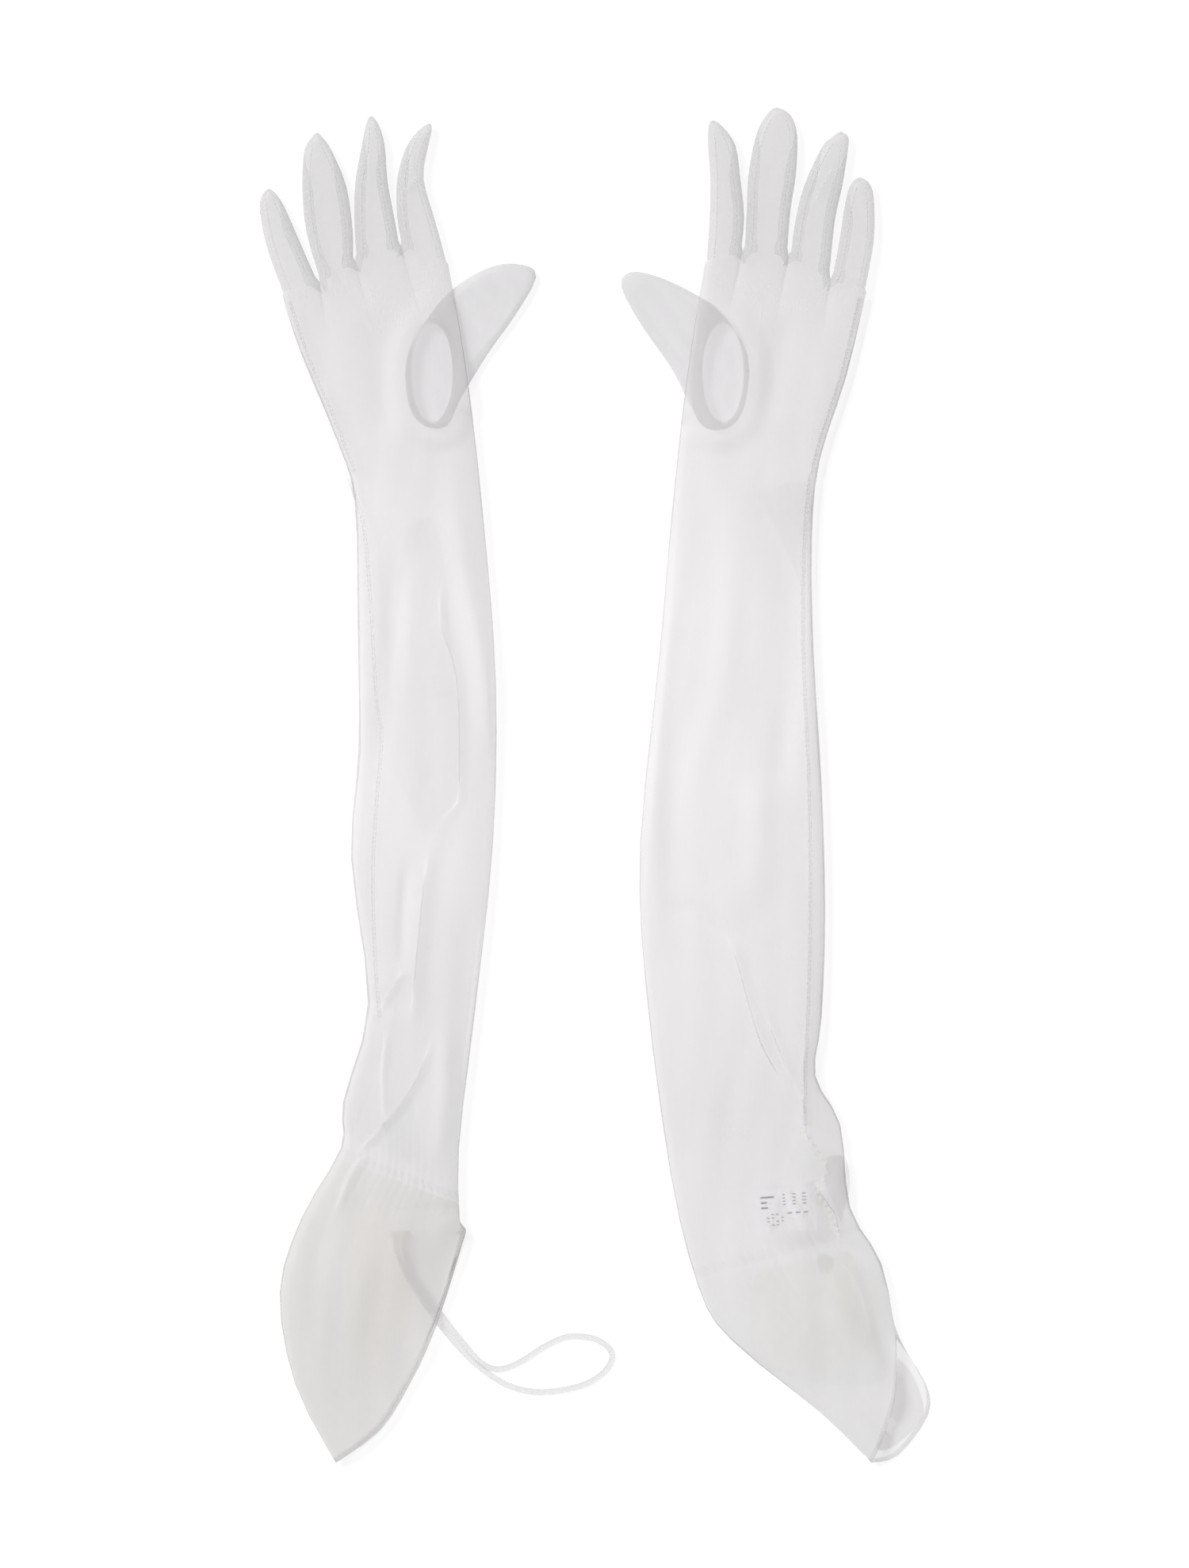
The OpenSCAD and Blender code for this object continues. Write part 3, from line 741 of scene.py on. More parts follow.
def tube(glove, name, both, material, slot, zone, replaced, share=1.0, sewn_to=None):
    """A closed tube from its two layers."""
    return glove.add(name, tucked(glove, *both, share), material, zone, slot, replaced, sewn_to,
                     closed=True, merge=True)


def girth(west, east):
    """The cut of a flattened tube: its widest girth and its length, and its flat area."""
    across = 2 * norms(east - west)
    steps = norms(np.diff((west + east) / 2, axis=0))
    size = (round(float(across.max()), 3), round(float(steps.sum()), 3))
    area = float((steps * (across[1:] + across[:-1]) / 2).sum())
    return size, min(area, size[0] * size[1])


def crosslines(outline, first, last, count):
    """Lines across the sleeve between two of them, each given as its middle and direction."""
    west, east = [], []
    for t in np.linspace(0, 1, count):
        middle, direction = lerp(first[0], last[0], t), unit(lerp(first[1], last[1], smooth(t)))
        w, e = outline.span(middle, direction)
        west.append(w)
        east.append(e)
    return np.array(west), np.array(east)


LEVEL = np.array([1.0, 0.0])
GATHERS = 15
GATHER_DEPTH = 0.07 * MM


def gather_ripple(s, distance, reach, amount):
    """The small pleats that the elastic draws in, which die away from the band."""
    phase = 2.2 * np.sin(3.1 * s) + distance * 30
    wave = np.sin(GATHERS * math.pi * s + phase) + 0.5 * np.sin(GATHERS * 5.3 * s + 2)
    return amount * wave * np.exp(-distance / reach) * (1 - np.abs(s) ** 4)


def middle_at(glove, y):
    return sum(glove.sleeve.span(np.array([glove.hole[0], y]), LEVEL)) / 2


def wrist_middle(glove):
    return sum(glove.palm.span(np.array([glove.hole[0], WRIST_JOIN]), LEVEL)) / 2


def add_sleeve(glove, name, west, east, zone, replaced, ripple=0):
    both = layers(west, east, columns(COLUMNS), glove, ripple)
    sleeve = tube(glove, f"sleeve_{name}", both, ORGANZA, "organza", zone, replaced)
    glove.sheet(name, sleeve, girth(west, east))
    return sleeve


def build_sleeves(glove):
    """The tube from the casing to the hand, in two pieces that meet half way up the forearm."""
    band_top = glove.band_low + glove.band_up * CASING
    lines = [(band_top, glove.band_line), (middle_at(glove, glove.elbow - 2 * BEND), LEVEL),
             (middle_at(glove, ELBOW_JOIN), LEVEL)]
    west, east = [], []
    for k, (first, last) in enumerate(zip(lines, lines[1:])):
        count = int(np.linalg.norm(first[0] - last[0]) / ROW_STEP) + 1
        w, e = crosslines(glove.arm, first, last, count)
        west.append(w[k:])  # the second stretch shares its first line
        east.append(e[k:])
    west, east = np.vstack(west), np.vstack(east)
    away = ((west + east) / 2 - band_top) @ glove.band_up
    ripple = gather_ripple(columns(COLUMNS)[None], away.clip(0)[:, None], 20 * MM, GATHER_DEPTH)
    upper = add_sleeve(glove, "upper", west, east, "elbow", "upper_sleeve", ripple)
    both = Outline(glove.body("forearm_sleeve"), glove.body("hand_shell"))
    count = int((WRIST_JOIN - ELBOW_JOIN) / ROW_STEP) + 1
    west, east = crosslines(both, lines[-1], (wrist_middle(glove), LEVEL), count)
    return upper, add_sleeve(glove, "lower", west, east, "wrist", "forearm_sleeve")


def finger_rows(glove, finger):
    """West and east edges of a finger, from its root to its tip."""
    i = glove.order.index(finger)
    west, east = glove.knuckles[i], glove.knuckles[i + 1]
    node = glove.body(f"{finger}_finger")
    outline, tip = Outline(node), highest(node)
    root = (west + east) / 2
    ahead = unit(tip - root)
    square = np.array([ahead[1], -ahead[0]])
    length = np.linalg.norm(tip - root)
    count = int(length / HAND_STEP)
    rows = [(west, east)]
    for t in 1 - (1 - np.linspace(0, 1, count + 1)[1:-1]) ** 1.15:
        level = unit(lerp(unit(east - west), square, smooth(t * length / (14 * MM))))
        if t * length < 2 * MM:
            continue
        rows.append(outline.span(root + ahead * t * length, level))
    rows.append((tip, tip))
    w, e = np.array([r[0] for r in rows]), np.array([r[1] for r in rows])
    share = arc((w + e) / 2)
    return w, e, share / share[-1]


def finger_heights(glove, finger, share):
    """Heights along a finger: crown, floor, and the upper and lower seams on each side."""
    taper = (1 - share ** 5).clip(0) ** 0.5
    crown = lerp(FINGER_EDGE, HAND_CROWN - 1.2 * MM * share, taper)
    floor = lerp(FINGER_EDGE - 1 * MM, FLOOR, taper)
    gap = 1.7 * MM * (1 - smooth((share - 0.62) / 0.3))
    i = glove.order.index(finger)
    gaps = (gap if i > 0 else 0 * gap, gap if i < len(FINGERS) - 1 else 0 * gap)
    return crown, floor, gaps


def finger_layers(west, east, s, crown, floor, gaps):
    share = (s + 1) / 2
    plan = west[:, None] * (1 - share)[..., None] + east[:, None] * share[..., None]
    gap = lerp(gaps[0][:, None], gaps[1][:, None], share)
    return rounded(plan, plan, s, (FINGER_EDGE + gap, FINGER_EDGE - gap),
                   (crown[:, None], floor[:, None]))


SEAM_SHARE = 0.93  # the seams and fourchettes end at this share of a finger's length
FINGER_FOLDS = {
    "left_index": [([(-98, 345.5), (-103, 343), (-108, 337)], 0.9, 1.6, 1.6)],
    "right_ring": [([(135, 352), (131, 343), (124, 330)], 0.8, 1.8, 1.6)],
}


def build_finger(glove, finger):
    west, east, share = finger_rows(glove, finger)
    s = np.broadcast_to(columns(FINGER_COLUMNS), (len(west), FINGER_COLUMNS + 1))
    top, low = finger_layers(west, east, s, *finger_heights(glove, finger, share))
    top = fold_shift(top, FINGER_FOLDS.get(glove.body(finger), []))
    grid = quads(*s.shape)
    faces = grid + [tuple(s.size + v for v in face[::-1]) for face in grid]
    shell = glove.add(f"{finger}_cloth", np.concatenate([top, low]), ORGANZA, finger, "organza",
                      f"{finger}_finger", faces=faces, merge=True)
    glove.sheet(finger, shell, girth(west, east))
    return top, low, share


FOURCHETTE_DEPTH = 6.2 * MM
CROTCH_DEPTH = 1.8 * MM  # how much deeper a fourchette is at the finger's root
CROTCH_REACH = 7 * MM  # how far it goes on into the hand
FOURCHETTE_LANES = 7


def build_fourchette(glove, finger, east_side, grids):
    """The strip between two fingers: it folds inwards between the finger's two layers."""
    top, low, share = grids
    column, inward = (-1, 0) if east_side else (0, -1)
    upper, lower = top[:, column], low[:, column]
    across = top[:, inward, :2] - top[:, column, :2]
    width = norms(across)
    across = across / width.clip(1e-6)[:, None]
    across[-1] = across[-2]
    keep = share < SEAM_SHARE
    depth = np.minimum(FOURCHETTE_DEPTH * (1 - smooth((share - 0.55) / 0.38)), 0.42 * width)
    _, ahead = glove.finger_axis(finger)
    rows = []
    for back in np.linspace(CROTCH_REACH, 1 * MM, 5):
        fade = 1 - back / (CROTCH_REACH + 1 * MM)
        rows.append((upper[0], lower[0], across[0], 5.4 * MM * fade, back))
    depth = depth + CROTCH_DEPTH * (1 - smooth(share / 0.12))
    rows += [(*row, 0) for row in zip(upper[keep], lower[keep], across[keep], depth[keep])]
    points = []
    for high, base, inwards, reach, back in rows:
        for k in np.linspace(-1, 1, FOURCHETTE_LANES):
            fold = (1 - abs(k) ** 1.5) * reach
            at = lerp(base, high, (k + 1) / 2)
            points.append((*(at[:2] + inwards * fold - ahead * back), at[2]))
    towards_index = east_side == (glove.outer < 0)
    part = {"little": "fourchette", "index": "fourchette"}.get(
        finger, "fourchette_inner" if towards_index else "fourchette_outer")
    glove.add(f"{finger}_{part}_strip", points, GORE, finger, replaced=f"{finger}_{part}",
              sewn_to=finger, faces=quads(len(rows), FOURCHETTE_LANES))


def build_hand(glove, fingers):
    """The hand from the wrist to the knuckles, with the oval hole for the thumb in its palm."""
    ends = (glove.knuckles[0], glove.knuckles[-1])
    count = int((ends[0][1] - WRIST_JOIN) / HAND_STEP)
    west, east = crosslines(glove.palm, (wrist_middle(glove), LEVEL),
                            ((ends[0] + ends[1]) / 2 - (0, 0.4 * MM), ends[1] - ends[0]), count)
    west[-1], east[-1] = ends
    chord = unit(ends[1] - ends[0])
    width = np.linalg.norm(ends[1] - ends[0])
    root_top, root_low = (np.vstack([fingers[f][layer][0, (i > 0):]
                                     for i, f in enumerate(glove.order)]) for layer in (0, 1))
    root_xy = root_top[:, :2]
    root_s = 2 * ((root_xy - ends[0]) @ chord) / width - 1
    blend = smooth((np.linspace(0, 1, count) - 0.62) / 0.38)[:, None]
    grid = lerp(columns(COLUMNS)[None], root_s[None], blend)
    straight = ends[0] + ((root_s + 1) / 2)[:, None] * (ends[1] - ends[0])
    bulge = (root_xy - straight)[None] * blend[..., None]
    top, low = layers(west, east, grid, glove, rims=(bulge, bulge))
    top[..., 2] = lerp(top[..., 2], root_top[None, :, 2], blend ** 1.5)
    low[..., 2] = lerp(low[..., 2], root_low[None, :, 2], blend ** 1.5)
    rings = tucked(glove, top, low, 1 - smooth((np.linspace(0, 1, count) - 0.6) / 0.38))
    points, faces = open_hole(glove, rings)
    hand = glove.add("hand_cloth", points, ORGANZA, "hand", "organza", "hand_shell", faces=faces,
                     merge=True)
    size, area = girth(west, east)
    glove.sheet("hand", hand, (size, area - math.pi * HOLE_HALF[0] * HOLE_HALF[1]))
    return hand


def open_hole(glove, rings):
    """The hand's points and faces, with the lower layer cut out in the thumb's oval hole."""
    inside = norms((rings[..., :2] - glove.hole) / HOLE_HALF) < 1
    inside[:, : COLUMNS + 2] = False
    inside[:, -1] = False
    inside = inside.reshape(-1)
    faces = [f for f in quads(*rings.shape[:2], closed=True) if not all(inside[v] for v in f)]
    flat = rings.reshape(-1, 3)
    used = np.zeros(len(flat), bool)
    for face in faces:
        used[list(face)] = True
    snap = inside & used
    radius = norms((flat[snap, :2] - glove.hole) / HOLE_HALF)
    flat[snap, :2] = glove.hole + (flat[snap, :2] - glove.hole) / radius[:, None]
    renumber = {old: new for new, old in enumerate(np.flatnonzero(used))}
    return flat[used], [tuple(renumber[v] for v in face) for face in faces]


THUMB_MIDDLE = 2.6 * MM  # height half way between the thumb's layers
THUMB_PUFF = 2.3 * MM
PUFF_REACH = 9 * MM  # the thumb is fully puffed this far from its edge
THUMB_WRINKLE = 0.25 * MM
HOLE_MARGIN = 0.8 * MM  # the pouch's mouth is this much smaller than the hole
MOUTH_RINGS = (PALM_LIFT + 0.1 * MM, 5.6 * MM, 5.1 * MM)  # heights of the mouth's edge
TURNING_LANES = (0.3, 1.2, 2.1, 2.9)  # millimetres in from the thumb's edge


def build_thumb_turnings(glove, angles, reach, oval):
    """The seam's turned edges inside the thumb, where it stands out past the hole."""
    out = reach - oval > 5 * MM
    first = int(np.flatnonzero(out & ~np.roll(out, 1))[0])
    order = np.roll(np.arange(len(angles)), -first)[: int(out.sum())]
    rows = []
    for k in order:
        ahead = np.array([math.cos(angles[k]), math.sin(angles[k])])
        for inset in TURNING_LANES:
            xy = glove.hole + ahead * (reach[k] - inset * MM)
            rows.append((*xy, THUMB_MIDDLE + 0.2 * MM * math.sin(k * 1.3 + inset)))
    glove.add("thumb_turnings", rows, TURNED, "thumb", sewn_to="thumb",
              faces=quads(len(order), len(TURNING_LANES)))


def build_thumb(glove):
    """A pouch whose upper layer opens into the oval hole, grown in rings from that hole."""
    angles, reach = glove.thumb_radii
    turns = len(angles)
    round_xy = np.column_stack([np.cos(angles), np.sin(angles)])
    oval = 1 / norms(round_xy / (HOLE_HALF - HOLE_MARGIN))
    reach = np.maximum(reach, oval + 0.6 * MM)
    mouth = glove.hole + round_xy * oval[:, None]
    rings = [np.column_stack([mouth, np.full(turns, z)]) for z in MOUTH_RINGS]

    def ring(t, side):
        radius = lerp(oval if side > 0 else 0 * oval, reach, t)
        puff = np.minimum(1, (reach - radius) / PUFF_REACH) ** 0.5
        xy = glove.hole + round_xy * radius[:, None]
        wrinkle = THUMB_WRINKLE * np.sin(xy[:, 0] * 420 + xy[:, 1] * 300) * puff
        return np.column_stack([xy, THUMB_MIDDLE + side * THUMB_PUFF * puff + wrinkle])

    for t in 1 - (1 - np.linspace(0.08, 1, 22)) ** 1.4:
        rings.append(ring(t, 1))
    for t in (1 - (1 - np.linspace(0.02, 1, 26)) ** 1.4)[-2::-1]:
        rings.append(ring(t, -1))
    points = np.vstack(rings)
    faces = quads(len(rings), turns, closed=True)
    last = len(points) - turns
    faces.append(tuple(range(last, last + turns)))
    thumb = glove.add("thumb_cloth", points, THUMB_CLOTH, "thumb", "organza", "thumb", faces=faces)
    size = 2 * np.ptp(glove.thumb_ring, axis=0)
    area = math.pi * float((reach ** 2).mean() * 2 - (oval ** 2).mean())
    glove.sheet("thumb", thumb, ((round(float(size[0]), 3), round(float(size[1] / 2), 3)), area))
    build_thumb_turnings(glove, angles, reach, oval)


# The thumb seam's section: how far outside the hole, and how far above the palm, in millimetres
SEAM_SECTION = ((-0.6, 0.1), (0.1, 0.5), (1.0, 0.55), (1.9, 0.35), (2.0, 0.05), (0.2, -0.1))


def build_thumb_seam(glove):
    """The ring of turned cloth round the oval hole."""
    angles, _ = glove.thumb_radii
    round_xy = np.column_stack([np.cos(angles), np.sin(angles)])
    rings = []
    for width, z in SEAM_SECTION:
        wobble = 0.06 * MM * np.sin(angles * 9 + width)
        rings.append(np.column_stack([glove.hole + round_xy * (HOLE_HALF + width * MM),
                                      PALM_LIFT + z * MM + wobble]))
    glove.add("thumb_seam_ring", rings + rings[:1], RIM, "hand", replaced="thumb_seam",
              sewn_to="hand", closed=True, merge=True)


BAND_ROWS = 9
BAND_TUBES = (  # name, width, inset, ripple, material, slot and CAD node
    ("casing_ruched", CASING, 0, 0.14 * MM, ORGANZA, "organza_doubled", "band_casing"),
    ("elastic_band", 4.6 * MM, 1.0 * MM, 0.3 * MM, RUBBER, "elastic", "elastic"),
)


def build_band(glove):
    """The gathered casing, and the clear elastic inside it."""
    s = columns(COLUMNS)
    for name, width, inset, wave, material, slot, replaced in BAND_TUBES:
        low_line = glove.band_low + glove.band_up * (CASING - width) / 2
        west, east = crosslines(glove.arm, (low_line, glove.band_line),
                                (low_line + glove.band_up * width, glove.band_line), BAND_ROWS)
        west, east = west + inset * glove.band_line, east - inset * glove.band_line
        rows = np.linspace(-1, 1, BAND_ROWS)[:, None]
        ripple = wave * np.sin(GATHERS * 3.6 * s[None] + 2 * rows) * (1 - np.abs(rows) ** 3)
        ripple = ripple + gather_ripple(s[None], 0 * rows, 1, GATHER_DEPTH)
        top, low = layers(west, east, s, glove, ripple - inset)
        low[..., 2] += inset * (1 - np.abs(s) ** 3)
        tube(glove, name, (top, low), material, slot, "upper", replaced, sewn_to="upper")


MOUTH = {"left": 0.9, "right": 0.22}  # how far the upper rim follows the lower one
CUFF_ROWS = 70
RIM_POINTS = 400


def cuff_edges(glove):
    """The cuff's west and east edges from the band to the rim, and the lower layer's rim."""
    tip, start = lowest(glove.body("cuff_hem")), highest(glove.body("cuff_hem"))
    band_w, band_e = glove.arm.span(glove.band_low, glove.band_line)
    centre = (band_w + band_e + tip + start) / 4
    a_w, a_e, a_tip, a_start = (math.atan2(*(p - centre)[::-1])
                                for p in (band_w, band_e, tip, start))
    a_w, a_tip = a_w % math.tau, a_tip % math.tau
    west = resample(glove.cuff.trace(centre, a_w, a_tip, 120), CUFF_ROWS)
    east = resample(glove.cuff.trace(centre, a_e, a_start, 60), CUFF_ROWS)
    west[0], east[0], west[-1], east[-1] = band_w, band_e, tip, start
    rim = glove.cuff.trace(centre, a_tip - math.tau, a_start, 160)
    rim[0], rim[-1] = tip, start
    return west, east, resample(rim, RIM_POINTS)


def build_cuff(glove):
    """The flared cuff from the casing to its slanting rim, whose two layers are open."""
    west, east, rim = cuff_edges(glove)
    s = columns(COLUMNS)
    across = (s + 1) / 2
    rim = np.column_stack([np.interp(across, np.linspace(0, 1, RIM_POINTS), c) for c in rim.T])
    chord = lerp(west[-1], east[-1], across[:, None])
    v = np.linspace(0, 1, CUFF_ROWS)[:, None]
    outward = (rim - chord)[None] * v[..., None] ** 1.6
    distance = norms((west + east) / 2 - (west[0] + east[0]) / 2)[:, None]
    ripple = gather_ripple(s[None], distance, 24 * MM, GATHER_DEPTH)
    flare = 0.8 * MM * np.sin(7 * s + 1)[None] * smooth(v)
    crown = CROWN * (1 - 0.4 * smooth((v - 0.4) / 0.6)) - 1 * MM * smooth(v / 0.2)
    top, low = layers(west, east, s, glove, ripple + flare, crown,
                      rims=(outward * MOUTH[glove.side], outward))
    cuff = tube(glove, "cuff_cloth", (top, low), CUFF_CLOTHS[glove.side], "organza", "rim", "cuff",
                1 - smooth((v[:, 0] - 0.3) / 0.5))
    size, area = girth(west, east)
    size = (size[0], round(size[1] + float(np.abs(outward).max()), 3))
    bulge = 2 * norms(outward[-1]).mean() * np.linalg.norm(east[-1] - west[-1])
    glove.sheet("cuff", cuff, (size, min(area + bulge / 2, size[0] * size[1])), "gathered")
    build_hem(glove, top, low)
    return cuff


# The hem's section round the rim: how far inwards from it and how far above it, in millimetres
HEM_SECTION = ((2.6, 0.25), (1.3, 0.35), (0, 0.35), (-0.45, 0), (0, -0.35), (1.3, -0.35),
               (2.6, -0.25))


def build_hem(glove, top, low):
    """The narrow hem: a doubled strip folded round the rim of both layers."""
    ring = []
    for grid, up in ((top, 1), (low[:, ::-1], -1)):
        rim, back = grid[-1], grid[-4] - grid[-1]
        back = back / norms(back)[:, None].clip(1e-6)
        if up < 0:
            rim, back = rim[1:-1], back[1:-1]
        ring.append([rim + back * inwards * MM + (0, 0, up * rise * MM)
                     for inwards, rise in HEM_SECTION])
    ring = np.concatenate(ring, axis=1)
    ring[..., 2] = ring[..., 2].clip(0.1 * MM)
    glove.add("cuff_hem_fold", ring, HEM, "rim", replaced="cuff_hem", sewn_to="cuff", closed=True)


# ---- seams, stitches and what shows through ----------------------------------------------------

class Cloth:
    """The upper layer of a piece, so that details can be laid on or under it."""

    def __init__(self, obj):
        self.tree = BVHTree.FromPolygons([v.co.copy() for v in obj.data.vertices],
                                         [tuple(face.vertices) for face in obj.data.polygons])

    def drape(self, xy, above):
        """The points of the upper layer over these places, moved up by above."""
        points = []
        for x, y in xy:
            hit = self.tree.ray_cast(Vector((x, y, 0.1)), Vector((0, 0, -1)))[0]
            if hit is None:
                hit = self.tree.find_nearest(Vector((x, y, CROWN)))[0]
            points.append((x, y, hit.z + above))
        return np.array(points)


def sideways(line):
    ahead = np.gradient(line, axis=0)
    across = np.column_stack([ahead[:, 1], -ahead[:, 0]])
    return across / norms(across)[:, None]


def add_strip(glove, name, cloth, line, width, above, material, zone, lanes=5):
    """A narrow strip of cloth that follows a line on the upper layer."""
    across = sideways(line)
    grid = np.array([cloth.drape(line + o * across, above - 0.15 * MM * (abs(o) > 0.4 * width))
                     for o in np.linspace(-width / 2, width / 2, lanes)]).transpose(1, 0, 2)
    glove.add(name, grid, material, zone, sewn_to=home(zone))


def home(zone):
    """The sheet that the trims of a zone are sewn to."""
    return {"elbow": "upper", "wrist": "lower"}.get(zone, zone)


STITCH = 1.9 * MM
STITCH_GAP = 0.7 * MM
THREAD_SIZE = 0.16 * MM
STITCH_PROFILE = ((0, 0.35), (0.2, 1), (0.8, 1), (1, 0.35))  # along a stitch, and thickness
STITCH_SIDES = 5


def add_stitches(glove, name, paths, zone):
    """Rows of single stitches along paths in space: short spindles of thread."""
    points, faces = [], []
    turns = [(math.cos(math.tau * k / STITCH_SIDES), math.sin(math.tau * k / STITCH_SIDES))
             for k in range(STITCH_SIDES)]
    tube_faces = quads(len(STITCH_PROFILE), STITCH_SIDES, closed=True)
    last = STITCH_SIDES * (len(STITCH_PROFILE) - 1)
    tube_faces += [tuple(range(STITCH_SIDES))[::-1], tuple(range(last, last + STITCH_SIDES))]
    for path in paths:
        along = arc(path)
        for start in np.arange(0.3 * MM, along[-1] - STITCH, STITCH + STITCH_GAP):
            a, b = (np.array([np.interp(place, along, column) for column in path.T])
                    for place in (start, start + STITCH))
            across = unit(np.cross(unit(b - a), (0, 0, 1)))
            up = np.cross(across, unit(b - a))
            faces += [tuple(len(points) + v for v in face) for face in tube_faces]
            points += [lerp(a, b, t) + r * THREAD_SIZE * (x * across + y * up)
                       for t, r in STITCH_PROFILE for x, y in turns]
    glove.add(name, points, THREAD, zone, sewn_to=home(zone), faces=faces)


def cut_line(line, low, high, count):
    """The part of a line between two heights up the glove, evenly spaced."""
    dense = resample(line, 1200)
    part = dense[(dense[:, 1] >= low) & (dense[:, 1] <= high)]
    return resample(part, count)


ALLOWANCE = 8 * MM  # cloth turned in beside the side seam
SEAM_END = {"left": -0.132, "right": -0.194}  # below this the seam turns under a fold


def add_seam(glove, name, line, cloth, zone, width=1.9 * MM):
    """A French seam: a doubled strip under the upper layer, with a row of stitches each side."""
    add_strip(glove, f"{name}_seam", cloth, line, width, -0.25 * MM, DOUBLED, zone)
    across = sideways(line)
    rows = [cloth.drape(line + o * across, 0.1 * MM) for o in (-0.38 * width, 0.38 * width)]
    add_stitches(glove, f"{name}_stitches", rows, zone)
    outwards = np.copysign(1, across[:, :1] * glove.outer) * across
    add_strip(glove, f"{name}_allowance", cloth, line + ALLOWANCE / 2 * outwards, ALLOWANCE,
              -0.7 * MM, TURNED, zone, 7)


def build_side_seam(glove, uppers):
    """The long seam down the little finger's side, in the stretches that bend together."""
    line = spline(np.array(SIDE_SEAM[glove.side], float) * MM, 12)[::-1]
    low = SEAM_END[glove.side]
    for name, cloth, y0, y1, zone in (("upper_arm", uppers[0], low, ELBOW_JOIN, "elbow"),
                                      ("forearm", uppers[1], ELBOW_JOIN, WRIST_JOIN, "wrist")):
        count = int((y1 - y0) / (1.5 * MM))
        add_seam(glove, name, cut_line(line, y0, y1, count), Cloth(cloth), zone)


def build_hand_seam(glove, hand):
    """The same seam up the hand's outer edge, as far as the little finger."""
    end = glove.knuckles[0 if glove.outer < 0 else -1][1] - 5 * MM
    line = []
    for y in np.arange(end, WRIST_JOIN, -1.5 * MM):
        edges = glove.palm.span(np.array([glove.hole[0], y]), LEVEL)
        line.append(edges[glove.outer > 0] - (glove.outer * 3.4 * MM, 0))
    add_seam(glove, "hand", np.array(line), Cloth(hand), "hand", 1.6 * MM)


SEAM_INSET = 4.2 * MM  # from a finger's edge to the line of stitches


def build_finger_seams(glove, finger, grids):
    """Stitches along a finger's seams, and the turnings inside its edge, thicker at the tip."""
    top, low, share = grids
    keep = share < SEAM_SHARE
    across = (columns(FINGER_COLUMNS) + 1) / 2
    inset = np.minimum(SEAM_INSET / norms(top[:, -1] - top[:, 0]).clip(1e-6), 0.3)
    rows = [np.array([[np.interp(abs(side - place), across, row[:, k]) for k in range(3)]
                      for row, place in zip(top[keep], inset[keep])]) + (0, 0, 0.1 * MM)
            for side in (0, 1)]
    add_stitches(glove, f"{finger}_stitches", rows, finger)
    middle = (top[:, 0] + low[:, 0]) / 2, (top[:, -1] + low[:, -1]) / 2
    width = norms(middle[0] - middle[1])
    ring = np.concatenate([middle[0], middle[1][-2::-1]])
    across = np.concatenate([middle[1] - middle[0], (middle[0] - middle[1])[-2::-1]])
    size = np.concatenate([width, width[-2::-1]]).clip(1e-6)
    inwards = across / size[:, None]
    inwards[len(share) - 1] = (*-glove.finger_axis(finger)[1], 0)
    depth = np.minimum(2.6 * MM, 0.46 * size)
    depth[len(share) - 1] = 3 * MM
    lanes = [ring + inwards * (depth * k)[:, None] for k in (0.06, 0.4, 0.7, 1)]
    grid = np.array(lanes).transpose(1, 0, 2)
    grid[..., 2] += 0.15 * MM * np.sin(np.arange(len(ring)) * 0.9)[:, None]
    glove.add(f"{finger}_turnings", grid, TURNED, finger, sewn_to=finger)


NARROWEST_SHEET = 10 * MM  # narrower strips go with the sheet that they are sewn to
PATCH_POINTS = 96
PATCH_RINGS = 16
PATCH_WRINKLE = 0.25 * MM


def build_patch(glove, name, cloth, edge, below, material, zone, slot="organza_doubled",
                replaced=None):
    """An inner piece of cloth under the upper layer, grown in rings from its middle."""
    edge = resample(np.vstack([edge, edge[:1]]), PATCH_POINTS + 1)[:-1]
    centre = edge.mean(0)
    rings = []
    for t in np.linspace(1, 0.04, PATCH_RINGS):
        xy = centre + (edge - centre) * t
        ring = cloth.drape(xy, -below)
        ring[:, 2] -= PATCH_WRINKLE * (1 + np.sin(xy[:, 0] * 520 + 3 * np.sin(xy[:, 1] * 130)))
        ring[:, 2] = ring[:, 2].clip(FLOOR + 0.1 * MM)
        rings.append(ring)
    faces = quads(len(rings), PATCH_POINTS, closed=True)
    last = (len(rings) - 1) * PATCH_POINTS
    faces.append(tuple(range(last, last + PATCH_POINTS)))
    axes = np.linalg.svd(edge - centre, full_matrices=False)[2]
    size = tuple(round(float(side), 3) for side in np.ptp((edge - centre) @ axes.T, axis=0))
    narrow = min(size) < NARROWEST_SHEET
    patch = glove.add(name, np.vstack(rings), material, zone, slot, replaced,
                      home(zone) if narrow else None, faces)
    if not narrow:
        x, y = edge.T
        area = abs(float((x * np.roll(y, -1) - y * np.roll(x, -1)).sum())) / 2
        glove.sheet(name, patch, (size, area), "folded", (glove.body("sleeve_lower"),))


# The long fold of the twisted left sleeve, which crosses the join of its two pieces
TWIST = [(-107, 146), (-92, 151), (-85, 124), (-81, 81), (-78, 40), (-78, -7), (-89, -22),
         (-96, -30), (-103, -14), (-112, 4), (-119, 27), (-120, 49), (-114, 97)]
